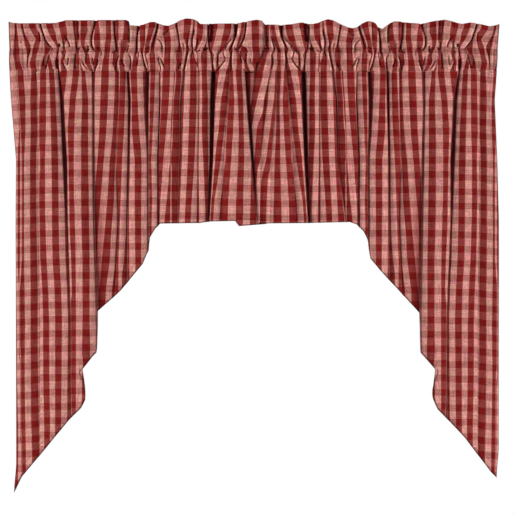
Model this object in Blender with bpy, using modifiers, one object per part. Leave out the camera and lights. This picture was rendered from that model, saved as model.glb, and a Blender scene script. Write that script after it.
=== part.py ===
"""Gathered gingham window valance: a pair of mirrored swags.

Each swag is one cloth panel hanging in deep upright folds from a gathered heading. The heading is a
standing ruffle over a rod pocket, which is a flat tunnel open at both ends. The panels are short at
the centre and run out to long pointed tails at the sides.

Metres, +Z up. The front faces -Y, and the left swag is at -X. The origin is the middle of the top edge.
"""
import bmesh
import bpy
import math
import numpy as np

COLLECTION = "gingham_swag_valance"

MM = 0.001
CLOTH = 1.6 * MM                # thickness of a panel's cloth with its turned edges
GAP = 0.3 * MM                  # between a heading and the panel below it

RUFFLE_DROP = 55 * MM           # top edge down to the seam over the rod pocket
POCKET_DROP = 98 * MM           # top edge down to the seam under the rod pocket
FACE_Y = -11 * MM               # where the fronts of the folds hang
FACE_STEP = 8.5 * MM            # spacing of the columns across the cloth
PANEL_ROWS = 9                  # rows of the panel's grid, from the seam to the hem
DRAPE_STEP = 12                 # spacing in drop, in millimetres, of the lines that the grid is read from
HEM_PASSES = 6                  # times that a thread's end is found again from where it hangs

LEFT, RIGHT = -1, 1

# All the distances in the tables are in millimetres. "Out" is the distance from the centre line towards
# the swag's outer side, and "drop" the distance below the top edge.
FOLD_DROPS = (100, 154, 270, 386, 580)

# A row for each front face, from the outer edge to the centre: how far out its inner lip lies at each of
# FOLD_DROPS, the width of the furrow behind that lip, the furrow's depth at the pocket and at the hem,
# how far the face bows forward, and how far back the face is set.
LEFT_FOLDS = (
    # name     out at FOLD_DROPS            furrow  deep  deep_low  bow  set_back
    ("edge",   (482, 479, 469, 470, 469),   0,      0,    0,        0,   0),
    ("A1",     (430, 426, 426, 426, 423),   6,      3,    3,        4,   0),
    ("A2",     (387, 381, 375, 371, 364),   8,      20,   5,        4,   0),
    ("B",      (320, 320, 320, 319, 312),   5,      18,   16,       5,   0),
    ("C1",     (271, 271, 276, 274, 284),   5,      6,    8,        3,   3),
    ("C2",     (253, 250, 251, 254, 254),   5,      22,   22,       3,   1),
    ("D",      (215, 216, 214, 214, 214),   6,      16,   14,       3,   0),
    ("E",      (191, 191, 195, 193, 193),   5,      16,   16,       2,   3),
    ("F",      (144, 150, 152, 156, 156),   5,      18,   16,       4,   0),
    ("G1",     (115, 115, 117, 117, 117),   5,      5,    4,        3,   1),
    ("G2",     (88, 89, 93, 98, 98),        8,      28,   28,       3,   0),
    ("H1",     (55, 58, 67, 71, 71),        5,      9,    3,        2,   0),
    ("H2",     (25, 21, 15, 3, 3),          5,      16,   14,       3,   0),
    ("tuck",   (-7, -1, 3, -7, -7),         0,      0,    0,        1,   9),
)
RIGHT_FOLDS = (
    ("edge",   (461, 457, 462, 465, 465),   0,      0,    0,        0,   0),
    ("A1",     (429, 427, 427, 427, 424),   6,      3,    3,        4,   0),
    ("A2",     (389, 381, 376, 373, 365),   8,      20,   6,        4,   0),
    ("B",      (320, 321, 319, 317, 313),   5,      18,   16,       5,   0),
    ("C1",     (273, 273, 276, 274, 282),   5,      6,    8,        3,   3),
    ("C2",     (250, 251, 253, 253, 253),   5,      22,   22,       3,   1),
    ("D",      (217, 218, 214, 213, 213),   7,      18,   14,       3,   0),
    ("E",      (191, 190, 195, 193, 193),   5,      16,   16,       2,   3),
    ("F",      (144, 151, 154, 169, 169),   5,      16,   8,        4,   0),
    ("G1",     (118, 118, 118, 118, 118),   5,      5,    5,        3,   1),
    ("G2",     (88, 89, 93, 100, 100),      8,      28,   28,       3,   0),
    ("H1",     (55, 58, 67, 73, 73),        6,      12,   3,        3,   0),
    ("H2",     (36, 34, 24, 22, 22),        5,      8,    3,        2,   0),
    ("H3",     (23, 11, 3, 3, 3),           5,      6,    3,        2,   0),
    ("lap",    (-11, -18, -11, -1, -1),     0,      0,    0,        1,   -1),
)

# The cut lower edge. A thread that hangs "out" from the centre line ends at "end_out" and "drop".
LEFT_HEM = (
    # out  end_out  drop
    (469, 473, 914),            # point of the tail
    (458, 458, 883),
    (411, 411, 827),
    (365, 365, 771),
    (351, 343, 750),
    (346, 334, 732),            # the edge swings out towards the centre
    (343, 335, 715),
    (339, 347, 682),            # notch in the inner edge
    (330, 338, 672),
    (318, 320, 649),
    (314, 313, 642),            # foot of the upright inner edge
    (311, 311, 562),            # head of the upright inner edge
    (268, 268, 524),
    (224, 224, 471),
    (213, 213, 444),
    (211, 211, 421),
    (200, 200, 403),
    (191, 191, 393),
    (113, 113, 392),
    (94, 94, 389),
    (45, 45, 388),
    (38, 38, 398),
    (-13, -13, 394),
)
RIGHT_HEM = (
    (465, 461, 885),
    (450, 450, 874),
    (398, 398, 806),
    (367, 367, 773),
    (353, 346, 752),
    (347, 335, 727),
    (343, 340, 703),
    (339, 348, 682),
    (330, 340, 673),
    (314, 314, 643),
    (311, 312, 566),
    (289, 289, 541),
    (235, 235, 483),
    (216, 216, 460),
    (212, 212, 425),
    (204, 204, 409),
    (191, 191, 395),
    (177, 177, 390),
    (96, 96, 392),
    (-20, -20, 393),
)
HEM_SWING = 60 * MM             # height over which a thread bends towards its end on the hem

# A row for each puff of the ruffle, from the outer edge to the centre: how far out its inner crease lies
# at the top edge and at the seam, how far its top edge drops, and how far it stands forward.
LEFT_PUFFS = (
    # top  seam  drop  forward
    (485, 482, 0, 0),
    (425, 396, 5, 9),
    (314, 326, -1, 11),
    (253, 253, -1, 9),
    (237, 237, 9, 5),
    (196, 198, 6, 8),
    (171, 175, 9, 6),
    (123, 129, -4, 10),
    (96, 96, 8, 6),
    (44, 59, 6, 10),
    (26, 36, 3, 5),
    (-12, -12, -1, 10),
)
RIGHT_PUFFS = (
    (467, 460, 0, 0),
    (425, 396, 8, 8),
    (322, 326, 1, 11),
    (253, 253, 3, 9),
    (237, 237, 14, 5),
    (189, 189, 1, 9),
    (165, 163, 13, 5),
    (134, 133, 3, 8),
    (92, 92, 3, 8),
    (47, 55, 5, 8),
    (14, 14, 8, 7),
)
STATION_STEP = 7.5              # spacing of the points along the heading
GATHER_STEP = 27                # width of a gather of the rod pocket
GATHER_DEPTH = 3.5              # how far a gather stands forward of the furrows beside it
PUFF_ROUNDNESS = 0.7            # below 1 the puffs are round and the creases between them sharp

# Cross-section of a heading, from the lower seam up the front, over the top and down the back: how far
# back and how far below the top edge each corner is, and how much of the ruffle's wave and of the
# pocket's gathers it follows.
HEADING_OUTLINE = (
    # back  drop  wave  gathers
    (-2.0, 98, 0.0, 0.5),
    (-10.0, 91, 0.2, 0.9),
    (-13.0, 77, 0.2, 1.0),
    (-10.0, 63, 0.2, 0.9),
    (-2.0, 55, 0.2, 0.5),
    (-2.0, 30, 0.7, 0.2),
    (-1.4, 0, 1.0, 0.0),
    (1.4, 0, 1.0, 0.0),
    (2.0, 30, 0.7, 0.2),
    (2.0, 55, 0.2, 0.5),
    (8.0, 63, 0.0, -0.6),
    (11.0, 77, 0.0, -0.7),
    (8.0, 91, 0.0, -0.6),
    (2.0, 98, 0.0, 0.5),
)
TUNNEL_OUTLINE = (
    (0.0, 95.5, 0.0, 0.5),
    (-8.2, 90, 0.2, 0.9),
    (-11.2, 77, 0.2, 1.0),
    (-8.2, 64, 0.2, 0.9),
    (0.0, 58, 0.2, 0.5),
    (6.2, 64, 0.0, -0.6),
    (9.2, 77, 0.0, -0.7),
    (6.2, 90, 0.0, -0.6),
)
CREASE_BACK = 3                 # how far a crease between two puffs goes back
CREASE_DIP = 3                  # how far it dips below the tops beside it

RED_CHECK = (0.33, 0.035, 0.03)
PINK_CHECK = (0.42, 0.10, 0.08)


def clear_scene():
    for item in list(bpy.data.objects):
        bpy.data.objects.remove(item, do_unlink=True)


def cotton(name, colour):
    """Matt checked cotton, in the colour that its check gives from a few steps away."""
    material = bpy.data.materials.new(name)
    material.use_nodes = True
    shader = material.node_tree.nodes["Principled BSDF"]
    shader.inputs["Base Color"].default_value = (*colour, 1)
    shader.inputs["Roughness"].default_value = 0.9
    shader.inputs["Metallic"].default_value = 0.0
    return material


def furrow_swing(t):
    """The heading of the cloth through a furrow, from 0 to 1: back, round the bottom, and out again."""
    return np.tanh(2.2 * np.sin(2 * math.pi * t)) / math.tanh(2.2)


def furrow_chart():
    """For each greatest turn of the cloth: the furrow's width over its depth, and depth over its cloth."""
    turns = np.linspace(0.02, 1.95, 300)
    t = (np.arange(200) + 0.5) / 200
    angles = turns[:, None] * furrow_swing(t)
    width = np.cos(angles).mean(axis=1)
    depth = np.sin(angles[:, :100]).mean(axis=1) / 2
    return turns, width / depth, depth


def drape(folds, drops):
    """The line of the cloth across the swag, as seen from above, at each of the drops.

    The line is a chain of faces and furrows. A face is an arc that bows forward. In a furrow the cloth
    turns back, round and out again, by the angle that gives the furrow its width and depth.
    Returns how far out and how far back each point is, a row for each drop.
    """
    lips = np.array([np.interp(drops, FOLD_DROPS, row[1]) for row in folds]) * MM
    fall = np.clip((drops - FOLD_DROPS[0]) / (FOLD_DROPS[-1] - FOLD_DROPS[0]), 0, 1)
    turns, slenderness, depth_share = furrow_chart()
    out = [lips[0][:, None]]
    back = [np.full((len(drops), 1), FACE_Y)]
    for index in range(1, len(folds)):
        name, _, furrow, deep, deep_low, bow, set_back = folds[index]
        half = furrow * MM / 2
        before = folds[index - 1][2] * MM / 2
        start = lips[index - 1] - before
        end = lips[index] + half
        level = FACE_Y + set_back * MM
        face_width = start - end
        bend = 2 * np.arctan(2 * bow * MM / face_width)
        count = max(2, round(float(np.mean(face_width)) / FACE_STEP))
        t = (np.arange(count) + 0.5) / count
        arc = face_width * bend / np.sin(bend) if bow else face_width
        add_run(out, back, bend[:, None] * (2 * t - 1), arc / count, end, np.full_like(end, level))
        if index == len(folds) - 1:
            break
        depth = (deep + (deep_low - deep) * fall) * MM
        ratio = furrow * MM / depth
        turn = np.interp(-ratio, -slenderness, turns)
        cloth = depth / np.interp(turn, turns, depth_share)
        count = max(4, 2 * round(float(np.mean(cloth)) / FACE_STEP / 2))
        t = (np.arange(count) + 0.5) / count
        next_level = FACE_Y + folds[index + 1][6] * MM
        far_lip = lips[index] - half
        add_run(out, back, turn[:, None] * furrow_swing(t), cloth / count, far_lip,
                np.full_like(far_lip, next_level))
    return np.hstack(out), np.hstack(back)


def add_run(out, back, headings, step, end_out, end_back):
    """Adds a stretch of cloth that follows the headings, eased evenly so that it ends where it should."""
    run = np.cumsum(np.cos(headings), axis=1) * step[:, None]
    rise = np.cumsum(np.sin(headings), axis=1) * step[:, None]
    share = np.arange(1, headings.shape[1] + 1) / headings.shape[1]
    start_out = out[-1][:, -1]
    start_back = back[-1][:, -1]
    miss_out = end_out - (start_out - run[:, -1])
    miss_back = end_back - (start_back + rise[:, -1])
    out.append(start_out[:, None] - run + miss_out[:, None] * share)
    back.append(start_back[:, None] + rise + miss_back[:, None] * share)


def hang(out, back, drops, column, drop):
    """Where the threads of the given columns are at the given drops, between the rows of the drape."""
    place = np.clip(np.interp(drop, drops, np.arange(len(drops))), 0, len(drops) - 1.001)
    row = place.astype(int)
    share = place - row
    x = out[row, column] * (1 - share) + out[row + 1, column] * share
    y = back[row, column] * (1 - share) + back[row + 1, column] * share
    return x, y


def panel_points(side, folds, hem):
    """The grid of a panel: columns run down the threads, rows from the pocket seam to the hem."""
    drops = np.arange(POCKET_DROP / MM, hem[0][2] + DRAPE_STEP, DRAPE_STEP)
    out, back = drape(folds, drops)
    hem_out, hem_end, hem_drop = np.array(hem[::-1], dtype=float).T
    columns = np.arange(out.shape[1])
    end_drop = np.full(len(columns), float(FOLD_DROPS[3]))
    for _ in range(HEM_PASSES):
        threads, _ = hang(out, back, drops, columns, end_drop)
        end_drop = np.interp(threads / MM, hem_out, hem_drop)
    swing = np.interp(threads / MM, hem_out, hem_end) * MM - threads
    start_drop = (POCKET_DROP + GAP) / MM
    points = []
    for row in range(PANEL_ROWS + 1):
        drop = start_drop + (end_drop - start_drop) * row / PANEL_ROWS
        x, y = hang(out, back, drops, columns, drop)
        near = np.clip(1 - (end_drop - drop) * MM / HEM_SWING, 0, 1)
        x = x + swing * near * near * (3 - 2 * near)
        points.append(np.stack((side * x, y, -drop * MM), axis=1))
    return np.array(points)


def panel(name, side, folds, hem, material, collection):
    """A panel's sheet of cloth, given its thickness evenly to both sides."""
    points = panel_points(side, folds, hem)
    rows, columns = points.shape[:2]
    corner = np.arange(rows * columns).reshape(rows, columns)
    faces = np.stack((corner[:-1, :-1], corner[:-1, 1:], corner[1:, 1:], corner[1:, :-1]), axis=2)
    mesh = bpy.data.meshes.new(name)
    mesh.from_pydata(points.reshape(-1, 3).tolist(), [], faces.reshape(-1, 4).tolist())
    shape = bpy.data.objects.new(name, mesh)
    collection.objects.link(shape)
    mesh.materials.append(material)
    mesh.shade_smooth()
    thicken = shape.modifiers.new("cloth", "SOLIDIFY")
    thicken.thickness = CLOTH
    thicken.offset = 0.0
    return shape


def puff_stations(puffs):
    """Points along a heading: how far out at the top and at the seam, top drop, wave and gathers."""
    stations = []
    for outer, inner in zip(puffs[:-1], puffs[1:]):
        width = outer[1] - inner[1]
        steps = max(3, round(width / STATION_STEP))
        gathers = max(1, round(width / GATHER_STEP))
        crease_drop = (outer[2] + inner[2]) / 2 + CREASE_DIP
        for step in range(steps):
            t = step / steps
            crest = math.sin(math.pi * t) ** PUFF_ROUNDNESS
            top = outer[0] + (inner[0] - outer[0]) * t
            seam = outer[1] - width * t
            top_drop = crease_drop + (inner[2] - crease_drop) * crest
            wave = CREASE_BACK - inner[3] * crest
            gather = -GATHER_DEPTH * abs(math.sin(math.pi * gathers * t))
            stations.append((top, seam, top_drop, wave, gather))
    stations.append((puffs[-1][0], puffs[-1][1], puffs[-1][2] + CREASE_DIP, CREASE_BACK, 0))
    return stations


def heading_rings(bm, side, stations, outline):
    """One ring of points for each station along the heading, joined into an open tube."""
    rings = []
    for top, seam, top_drop, wave, gather in stations:
        ring = []
        for back, drop, wave_share, gather_share in outline:
            height = max(0.0, 1 - drop * MM / RUFFLE_DROP)
            out = seam + (top - seam) * height
            depth = back + wave * wave_share + gather * gather_share
            ring.append(bm.verts.new((side * out * MM, depth * MM, -(drop + top_drop * height) * MM)))
        rings.append(ring)
    for ring, following in zip(rings[:-1], rings[1:]):
        for index in range(len(ring)):
            after = (index + 1) % len(ring)
            bm.faces.new((ring[index], ring[after], following[after], following[index]))
    return rings


def heading(name, side, puffs, material, collection):
    """A heading: ruffle and rod pocket in one, hollow along its length and open at both ends."""
    bm = bmesh.new()
    stations = puff_stations(puffs)
    outside = heading_rings(bm, side, stations, HEADING_OUTLINE)
    tunnel = heading_rings(bm, side, stations, TUNNEL_OUTLINE)
    for end in (0, -1):
        rim = []
        for ring in (outside[end], tunnel[end]):
            for index in range(len(ring)):
                rim.append(bm.edges.get((ring[index - 1], ring[index])))
        bmesh.ops.triangle_fill(bm, edges=rim, use_beauty=True)
    bmesh.ops.recalc_face_normals(bm, faces=bm.faces)
    mesh = bpy.data.meshes.new(name)
    bm.to_mesh(mesh)
    bm.free()
    shape = bpy.data.objects.new(name, mesh)
    collection.objects.link(shape)
    mesh.materials.append(material)
    mesh.shade_smooth()
    return shape


def main():
    clear_scene()
    collection = bpy.data.collections.new(COLLECTION)
    bpy.context.scene.collection.children.link(collection)
    heading("left_heading", LEFT, LEFT_PUFFS, cotton("left_heading_cotton", PINK_CHECK), collection)
    heading("right_heading", RIGHT, RIGHT_PUFFS, cotton("right_heading_cotton", PINK_CHECK), collection)
    panel("left_panel", LEFT, LEFT_FOLDS, LEFT_HEM, cotton("left_panel_cotton", RED_CHECK), collection)
    panel("right_panel", RIGHT, RIGHT_FOLDS, RIGHT_HEM, cotton("right_panel_cotton", RED_CHECK), collection)


main()
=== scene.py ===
"""Gathered gingham window valance: the cloth of its two swags, as sewn and hung.

Each swag is two sheets of the same checked cotton. The panel hangs in upright folds from the seam under
the rod pocket. The heading is the panel's top, turned over to the back: a standing ruffle above a gathered
rod pocket. Metres, +Z up. The front faces -Y.
"""
import math
import bpy
import numpy as np
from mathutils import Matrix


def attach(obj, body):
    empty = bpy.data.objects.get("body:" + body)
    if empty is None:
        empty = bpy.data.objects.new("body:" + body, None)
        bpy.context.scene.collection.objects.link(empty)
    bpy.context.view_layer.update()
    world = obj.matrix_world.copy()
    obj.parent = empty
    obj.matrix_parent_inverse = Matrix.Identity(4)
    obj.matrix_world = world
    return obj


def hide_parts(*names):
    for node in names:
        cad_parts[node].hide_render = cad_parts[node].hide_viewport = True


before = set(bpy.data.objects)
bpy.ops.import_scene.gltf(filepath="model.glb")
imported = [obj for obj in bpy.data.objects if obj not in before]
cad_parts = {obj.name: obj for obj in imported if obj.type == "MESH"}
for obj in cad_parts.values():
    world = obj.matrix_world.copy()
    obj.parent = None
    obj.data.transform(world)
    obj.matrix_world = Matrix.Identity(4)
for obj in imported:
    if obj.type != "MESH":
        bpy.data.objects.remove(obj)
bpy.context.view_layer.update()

MM = 0.001
CLOTH = 0.8 * MM                # thickness of the cotton
TURNED_HEM = 14 * MM            # height of the turned hem along the cut edges

RUFFLE_DROP = 55                # top edge down to the seam over the rod pocket, in millimetres
POCKET_DROP = 98                # top edge down to the seam under the rod pocket, in millimetres
PANEL_TOP = 93                  # where the panel's cloth starts, tucked up between the pocket's layers
FACE_Y = -11 * MM               # where the fronts of the folds hang
SEAM_Y = -10.3 * MM             # where the cloth is drawn in along the lower seam
SEAM_TURN = 2.4 * MM            # how far both cloths turn in at that seam
TURN_HEIGHT = 1.2               # height over which they do, in millimetres

LEFT, RIGHT = -1, 1

# All the distances in the tables are in millimetres. "Out" is the distance from the centre line towards
# the swag's outer side, and "drop" the distance below the top edge.
FOLD_DROPS = (100, 154, 270, 386, 580)

# A row for the panel's outer edge, and one for each front face from there to the centre, with the furrow
# behind the face's inner lip: name, how far out the lip is, how far the face bows forward and how far back
# it is set, then the furrow's width, how much shade is painted in it and highlight on the lip before it,
# and its depth. Five values are those at FOLD_DROPS.
LEFT_FOLDS = (
    ("edge", (482, 479, 469, 470, 469), 0, 0, 4, 0, 0),
    ("A1", (430, 426, 426, 426, 423), 3, 0, 4, 0, 1.6),
    ("A2", (387, 381, 375, 371, 364), 4, 0,
     (8, 12, 14, 7, 5), (0.2, 0.6, 0.9, 0.3, 0.1), (20, 22, 20, 9, 5)),
    ("B", (320, 320, 320, 319, 312), 4, (1, 1, 0, 0, 0),
     (6, 6, 6, 5, 5), (0.3, 0.2, 0.3, 0.3, 0.2), (7, 7, 7, 5, 4)),
    ("C1", (271, 271, 276, 272, 283), 3, (3, 4, 6, 8, 8), 4, (0.2, 0.2, 0.2, 0.9, 0.3), (5, 5, 5, 9, 4)),
    ("C2", (253, 250, 251, 254, 254), 3, (1, 1, 2, 3, 3),
     (8, 8, 6.5, 5.5, 5), (0.7, 0.9, 0.3, 0.1, 0.1), (20, 20, 9, 5, 4)),
    ("D", (215, 216, 214, 214, 214), 3, 0, (10, 10, 5, 4, 4), (0.7, 0.6, 0.1, 0.1, 0.1), (16, 15, 6, 5, 5)),
    ("E", (191, 191, 195, 195, 195), 2, 3, (5, 6, 5, 5, 5), (0.2, 0.4, 0.4, 0.5, 0.4), (8, 11, 10, 10, 10)),
    ("F", (144, 150, 152, 156, 156), 4, (1, 2, 5, 7, 7),
     (6, 6, 5, 5, 5), (0.1, 0.2, 0.3, 0.2, 0.1), (6, 8, 8, 6, 5)),
    ("G1", (115, 115, 117, 117, 117), 3, 1, 4, 0, 4),
    ("G2", (87, 89, 91.5, 97, 97), 3, 0, (15, 16, 13, 9, 8), (1, 1, 1, 0.5, 0.4), (28, 28, 26, 11, 10)),
    ("H1", (55, 58, 67, 71, 71), 2, 0, 4, 0, (4, 3, 2, 0.8, 0.8)),
    ("H2", (25, 21, 11, 2, 2), 3, 0, (5, 7, 8, 2.5, 2.5), (0.5, 0.6, 1, 0, 0), (18, 18, 18, 1.5, 1.5)),
    ("tuck", (-15, -12, -14, -19, -19), 1, (9, 9, 7, 3, 3), 4, 0, 0),
)
RIGHT_FOLDS = (
    ("edge", (461, 457, 462, 465, 465), 0, 0, 4, 0, 0),
    ("A1", (429, 427, 427, 427, 424), 3, 0, 4, 0, 1.6),
    ("A2", (389, 381, 376, 373, 365), 4, 0,
     (8, 12, 14, 6, 5), (0.2, 0.6, 0.9, 0.2, 0.1), (20, 22, 20, 7, 5)),
    ("B", (320, 321, 319, 317, 313), 4, (1, 1, 0, 0, 0),
     (6, 6, 6, 5, 5), (0.3, 0.2, 0.3, 0.3, 0.2), (7, 7, 7, 5, 4)),
    ("C1", (273, 273, 276, 273, 282), 3, (3, 4, 6, 8, 8), 4, (0.2, 0.2, 0.2, 0.9, 0.3), (5, 5, 5, 9, 4)),
    ("C2", (250, 251, 253, 253, 253), 3, (1, 1, 2, 3, 3),
     (8, 8, 6.5, 5.5, 5), (0.7, 0.9, 0.3, 0.1, 0.1), (20, 20, 9, 5, 4)),
    ("D", (215, 217, 213, 213, 213), 3, 0, (10, 11, 5, 4, 4), (0.7, 0.6, 0.1, 0.1, 0.1), (16, 15, 6, 5, 4)),
    ("E", (191, 190, 195, 195, 195), 2, 3, (5, 6, 5, 5, 5), (0.2, 0.4, 0.4, 0.5, 0.4), (8, 11, 10, 10, 10)),
    ("F", (144, 151, 154, 169, 169), 4, (1, 2, 5, 7, 7),
     (6, 6, 5, 4, 4), (0.1, 0.3, 0.4, 0.1, 0.1), (6, 9, 8, 4, 4)),
    ("G1", (118, 118, 118, 118, 118), 3, 1, 4, 0, 4),
    ("G2", (87.5, 88.5, 92.5, 98, 98), 3, 0,
     (15, 16, 14, 10, 9), (1, 1, 1, 0.5, 0.4), (28, 28, 26, 11, 10)),
    ("H1", (55, 58, 67, 73, 73), 3, 0, 4, (0.4, 0, 0, 0, 0), (5, 4, 3, 0.8, 0.8)),
    ("H2", (36, 34, 24, 22, 22), 2, 0, 4, 0, (4, 3, 1.5, 0.8, 0.8)),
    ("H3", (23, 11, 3, 3, 3), 2, 0, 4, 0, (3, 2.5, 1.5, 1, 1)),
    ("lap", (-11, -18, -11, -1, -1), 1, -1, 4, 0, 0),
)
# How much shade is painted on a face's outer side, next to the furrow before it, at FOLD_DROPS.
PAINTED_SHADE_SIDES = {"C1": (0, 0, 0.05, 0.25, 0.35), "tuck": (0.2, 0.2, 0.15, 0, 0)}

# Squares are counted across from a line MIDLINE squares outside the centre line, inwards, and down from a
# line TOPLINE squares above the top edge.
SQUARE = 1.9352
MIDLINE = 258.5
TOPLINE = 20.5
REPEAT = 12.5

# A row for each red stripe that shows on a panel: its face, its number, and at each height its place down
# and across, at its outer edge and its inner one. A number left out lies hidden in the furrow before it.
PANEL_STRIPES = (
    ("A1", -1, ((75, 2, 7), (140, 8, 13.5), (290, 12, 15.8), (320, 13, 17), (380, 13, 17), (420, 12.5, 18),
                (480, 12, 18.5))),
    # the side hem's stitches part this stripe in two
    ("A1", 0, ((75, 17.2, 17.21), (100, 18.9, 18.91), (130, 20.2, 20.21), (145, 18.8, 20.3),
               (160, 17.9, 20.3), (260, 17.7, 20.2), (275, 18.6, 19.8), (290, 19.4, 19.41),
               (320, 19.9, 19.91), (380, 20.4, 20.41), (450, 21.4, 21.41))),
    ("A1", 1, ((75, 17.3, 23.3), (100, 19, 25.3), (130, 20.3, 25.5), (145, 21.5, 24.7), (160, 22.4, 24),
               (260, 22.3, 24), (275, 21, 24.2), (290, 19.5, 24.5), (320, 20, 25), (380, 20.5, 24.7),
               (450, 21.5, 25.7))),
    ("A1", 2, ((75, 31.7, 37.6), (85, 31, 37), (100, 30.5, 36.5), (130, 31, 37), (160, 30.5, 36),
               (230, 30.5, 36.3), (290, 31, 37.5), (350, 31, 37.6), (420, 31.5, 38.5), (450, 32.5, 39))),
    ("A2", 3, ((75, 40.4, 46.4), (130, 39.7, 46), (160, 40.5, 45), (200, 40, 45), (230, 40.5, 45.5),
               (260, 41, 46.5), (290, 42.5, 48), (320, 43.5, 49), (380, 43.5, 49.5), (420, 44.5, 50))),
    ("A2", 4, ((75, 49.2, 53.8), (85, 50, 54.8), (100, 50.5, 55.5), (130, 51.5, 57), (160, 52, 58),
               (200, 52.5, 58.5), (230, 52.5, 58.7), (260, 53, 59.5), (290, 55, 61), (320, 55.5, 62),
               (420, 55.5, 61))),
    ("B", 7, ((75, 73, 79.3), (100, 70, 75.5), (130, 68, 74), (160, 68.7, 73.7), (200, 69.5, 74),
              (230, 70, 75), (260, 71.5, 75.5), (290, 72.3, 75.7), (320, 70, 76), (380, 69.3, 76))),
    ("B", 8, ((75, 81.5, 85.2), (100, 82.5, 88), (130, 81.5, 88), (160, 81.5, 88), (200, 81.5, 88.5),
              (230, 82, 89), (260, 83, 89.5), (320, 83, 89.5), (350, 82.5, 90))),
    ("C1", 11, ((75, 101.5, 108.7), (100, 100.5, 107.5), (130, 99.5, 106), (160, 97.5, 103.5),
                (200, 94, 100), (230, 92.5, 97.5), (260, 90, 96), (290, 88, 94))),
    ("C1", 12, ((75, 115, 118.7), (100, 114.5, 118.5), (130, 113, 116), (160, 110, 114.5),
                (200, 107.5, 113.5), (230, 105, 111), (260, 102, 109.5), (290, 99, 105.5),
                (305, 97.5, 105))),
    ("C2", 13, ((75, 120.3, 125.4), (100, 119.2, 125), (130, 118, 124), (160, 117.3, 122),
                (200, 117, 120.4), (230, 117, 119.5), (260, 115, 118.3), (290, 113, 118.5))),
    ("C2", 14, ((75, 129.5, 134), (100, 128.4, 133), (130, 128, 133), (160, 127.3, 131),
                (200, 126.4, 129.5), (230, 126, 130), (260, 124, 129.5), (275, 122, 128))),
    ("D", 16, ((75, 130.5, 136.8), (100, 132, 137.5), (130, 132, 139), (160, 135, 141.5), (200, 135, 141),
               (260, 135.5, 141))),
    ("E", 19, ((75, 150, 155), (100, 149.5, 154), (130, 149, 152.5), (160, 148.3, 151), (200, 149, 152),
               (215, 149, 151.5))),
    ("F", 21, ((75, 163, 170), (100, 162, 169), (130, 160, 166), (160, 159, 163), (200, 157.5, 160),
               (220, 156, 159.5))),
    ("F", 22, ((75, 174.6, 175.3), (100, 172.6, 173.3), (130, 171.2, 171.8), (160, 170.2, 170.8),
               (180, 169, 170.7), (200, 167, 170.3), (220, 164.5, 169.8))),
    ("F", 23, ((75, 175.5, 181), (100, 173.5, 179), (130, 172, 179.5), (160, 171, 178.5), (200, 171.3, 178),
               (220, 171.5, 178.3))),
    ("G1", 26, ((75, 190.5, 196), (100, 190, 196.5), (130, 189, 195.5), (160, 188, 194.5),
                (200, 186, 191.5), (220, 185, 190.5))),
    ("G1", 27, ((75, 202, 204), (130, 201, 203), (160, 199, 201), (200, 197.3, 200), (220, 196.8, 200.7))),
    ("G2", 28, ((75, 202, 206.7), (100, 202.5, 207.5), (130, 202, 207.5), (160, 203.5, 208),
                (200, 205.3, 208.5), (220, 205.5, 209))),
    ("H1", 30, ((75, 216, 218.8), (90, 213.5, 215.5), (100, 210.5, 212), (130, 205, 210), (160, 202, 207),
                (220, 197, 202))),
    ("H1", 31, ((75, 226, 230), (85, 224, 230), (100, 221.5, 227.5), (130, 219, 224), (160, 215, 220.5),
                (200, 210, 214.3), (220, 208.5, 213))),
    ("H2", 32, ((75, 230.5, 233), (100, 228.5, 234.3), (130, 227.5, 233), (160, 226, 231),
                (200, 221.5, 228), (220, 220, 227.5))),
    ("H2", 33, ((75, 236, 241.5), (100, 238, 243), (130, 239, 243.5), (160, 238.5, 244),
                (180, 237.4, 243.3), (200, 236.4, 243), (220, 236, 242.6))),
)
LEFT_STRIPES = PANEL_STRIPES + (
    ("H2", 34, ((75, 245.5, 251), (100, 248, 251), (130, 249.5, 252), (160, 251.5, 254.5),
                (180, 251.2, 254.8), (200, 250.8, 256.2), (220, 250.2, 256.2))),
    ("tuck", 36, ((75, 244.5, 250.3), (100, 245.5, 249.6), (160, 250, 255), (200, 259, 265),
                  (220, 258.5, 265))),
)
RIGHT_STRIPES = PANEL_STRIPES[:-1] + (
    ("H2", 33, ((75, 236, 240.7), (100, 237.5, 240.3), (130, 237, 240.5), (160, 237, 242.2),
                (200, 236.1, 243), (220, 235.6, 243.4))),
    ("H3", 34, ((75, 241, 241.6), (100, 240.7, 243), (130, 242, 247), (160, 246.4, 250.7),
                (180, 249.5, 255.4), (200, 250.4, 257.3), (220, 251.1, 258.7))),
    ("lap", 35, ((75, 246, 248), (100, 248.5, 254), (130, 254, 260), (160, 259, 262.5), (200, 262, 267))),
    ("lap", 36, ((75, 254, 262.7), (85, 256.6, 263.4), (100, 260.6, 265), (130, 266, 271),
                 (200, 273, 279))),
)
# How far down a face's rows are, at ROW_DROPS, in millimetres. The last value holds below its drop.
ROW_DROPS = (150, 210, 290, 370, 450, 600, 700, 800)
ROW_SHIFTS = {
    "A1": (9.7, 9, 7.2, 7.8, 8.5, 9.7, 12.3, 15.5), "A2": (6.4, 6.4, 5.4, 5.2, 5.8, 5.6, 7.6),
    "B": (0.8, -1, -0.8, 1.4, 3.3, 4, 5), "C1": (1.7, 0.8, 1.2, 1.2, 1.5), "C2": (3.5, 2),
    "D": (5.4, 3.5, 2.7, 2.5), "E": (-2.5, -3, -2.3, -2), "F": (2, 1), "G1": (0.2, -1),
    "G2": (-0.8, -0.4, 0), "H1": (-4.2, -3, -1.7, -1), "H2": (0.7, 1.3, 0.7, 1), "tuck": (1,), "H3": (0,),
    "lap": (0,),
}
ROW_TILTS = {"A1": (2.4, -1.0)}  # how much further down they are at a face's outer and inner edges, in mm
RIGHT_LOWER = 2.8               # how much further down the right swag's rows are, in mm
CHECK_ROW = 27.7                # height of a repeat of the check
FIRST_ROW = 11.9                # drop at which a red row starts, on a face with no shift

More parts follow.
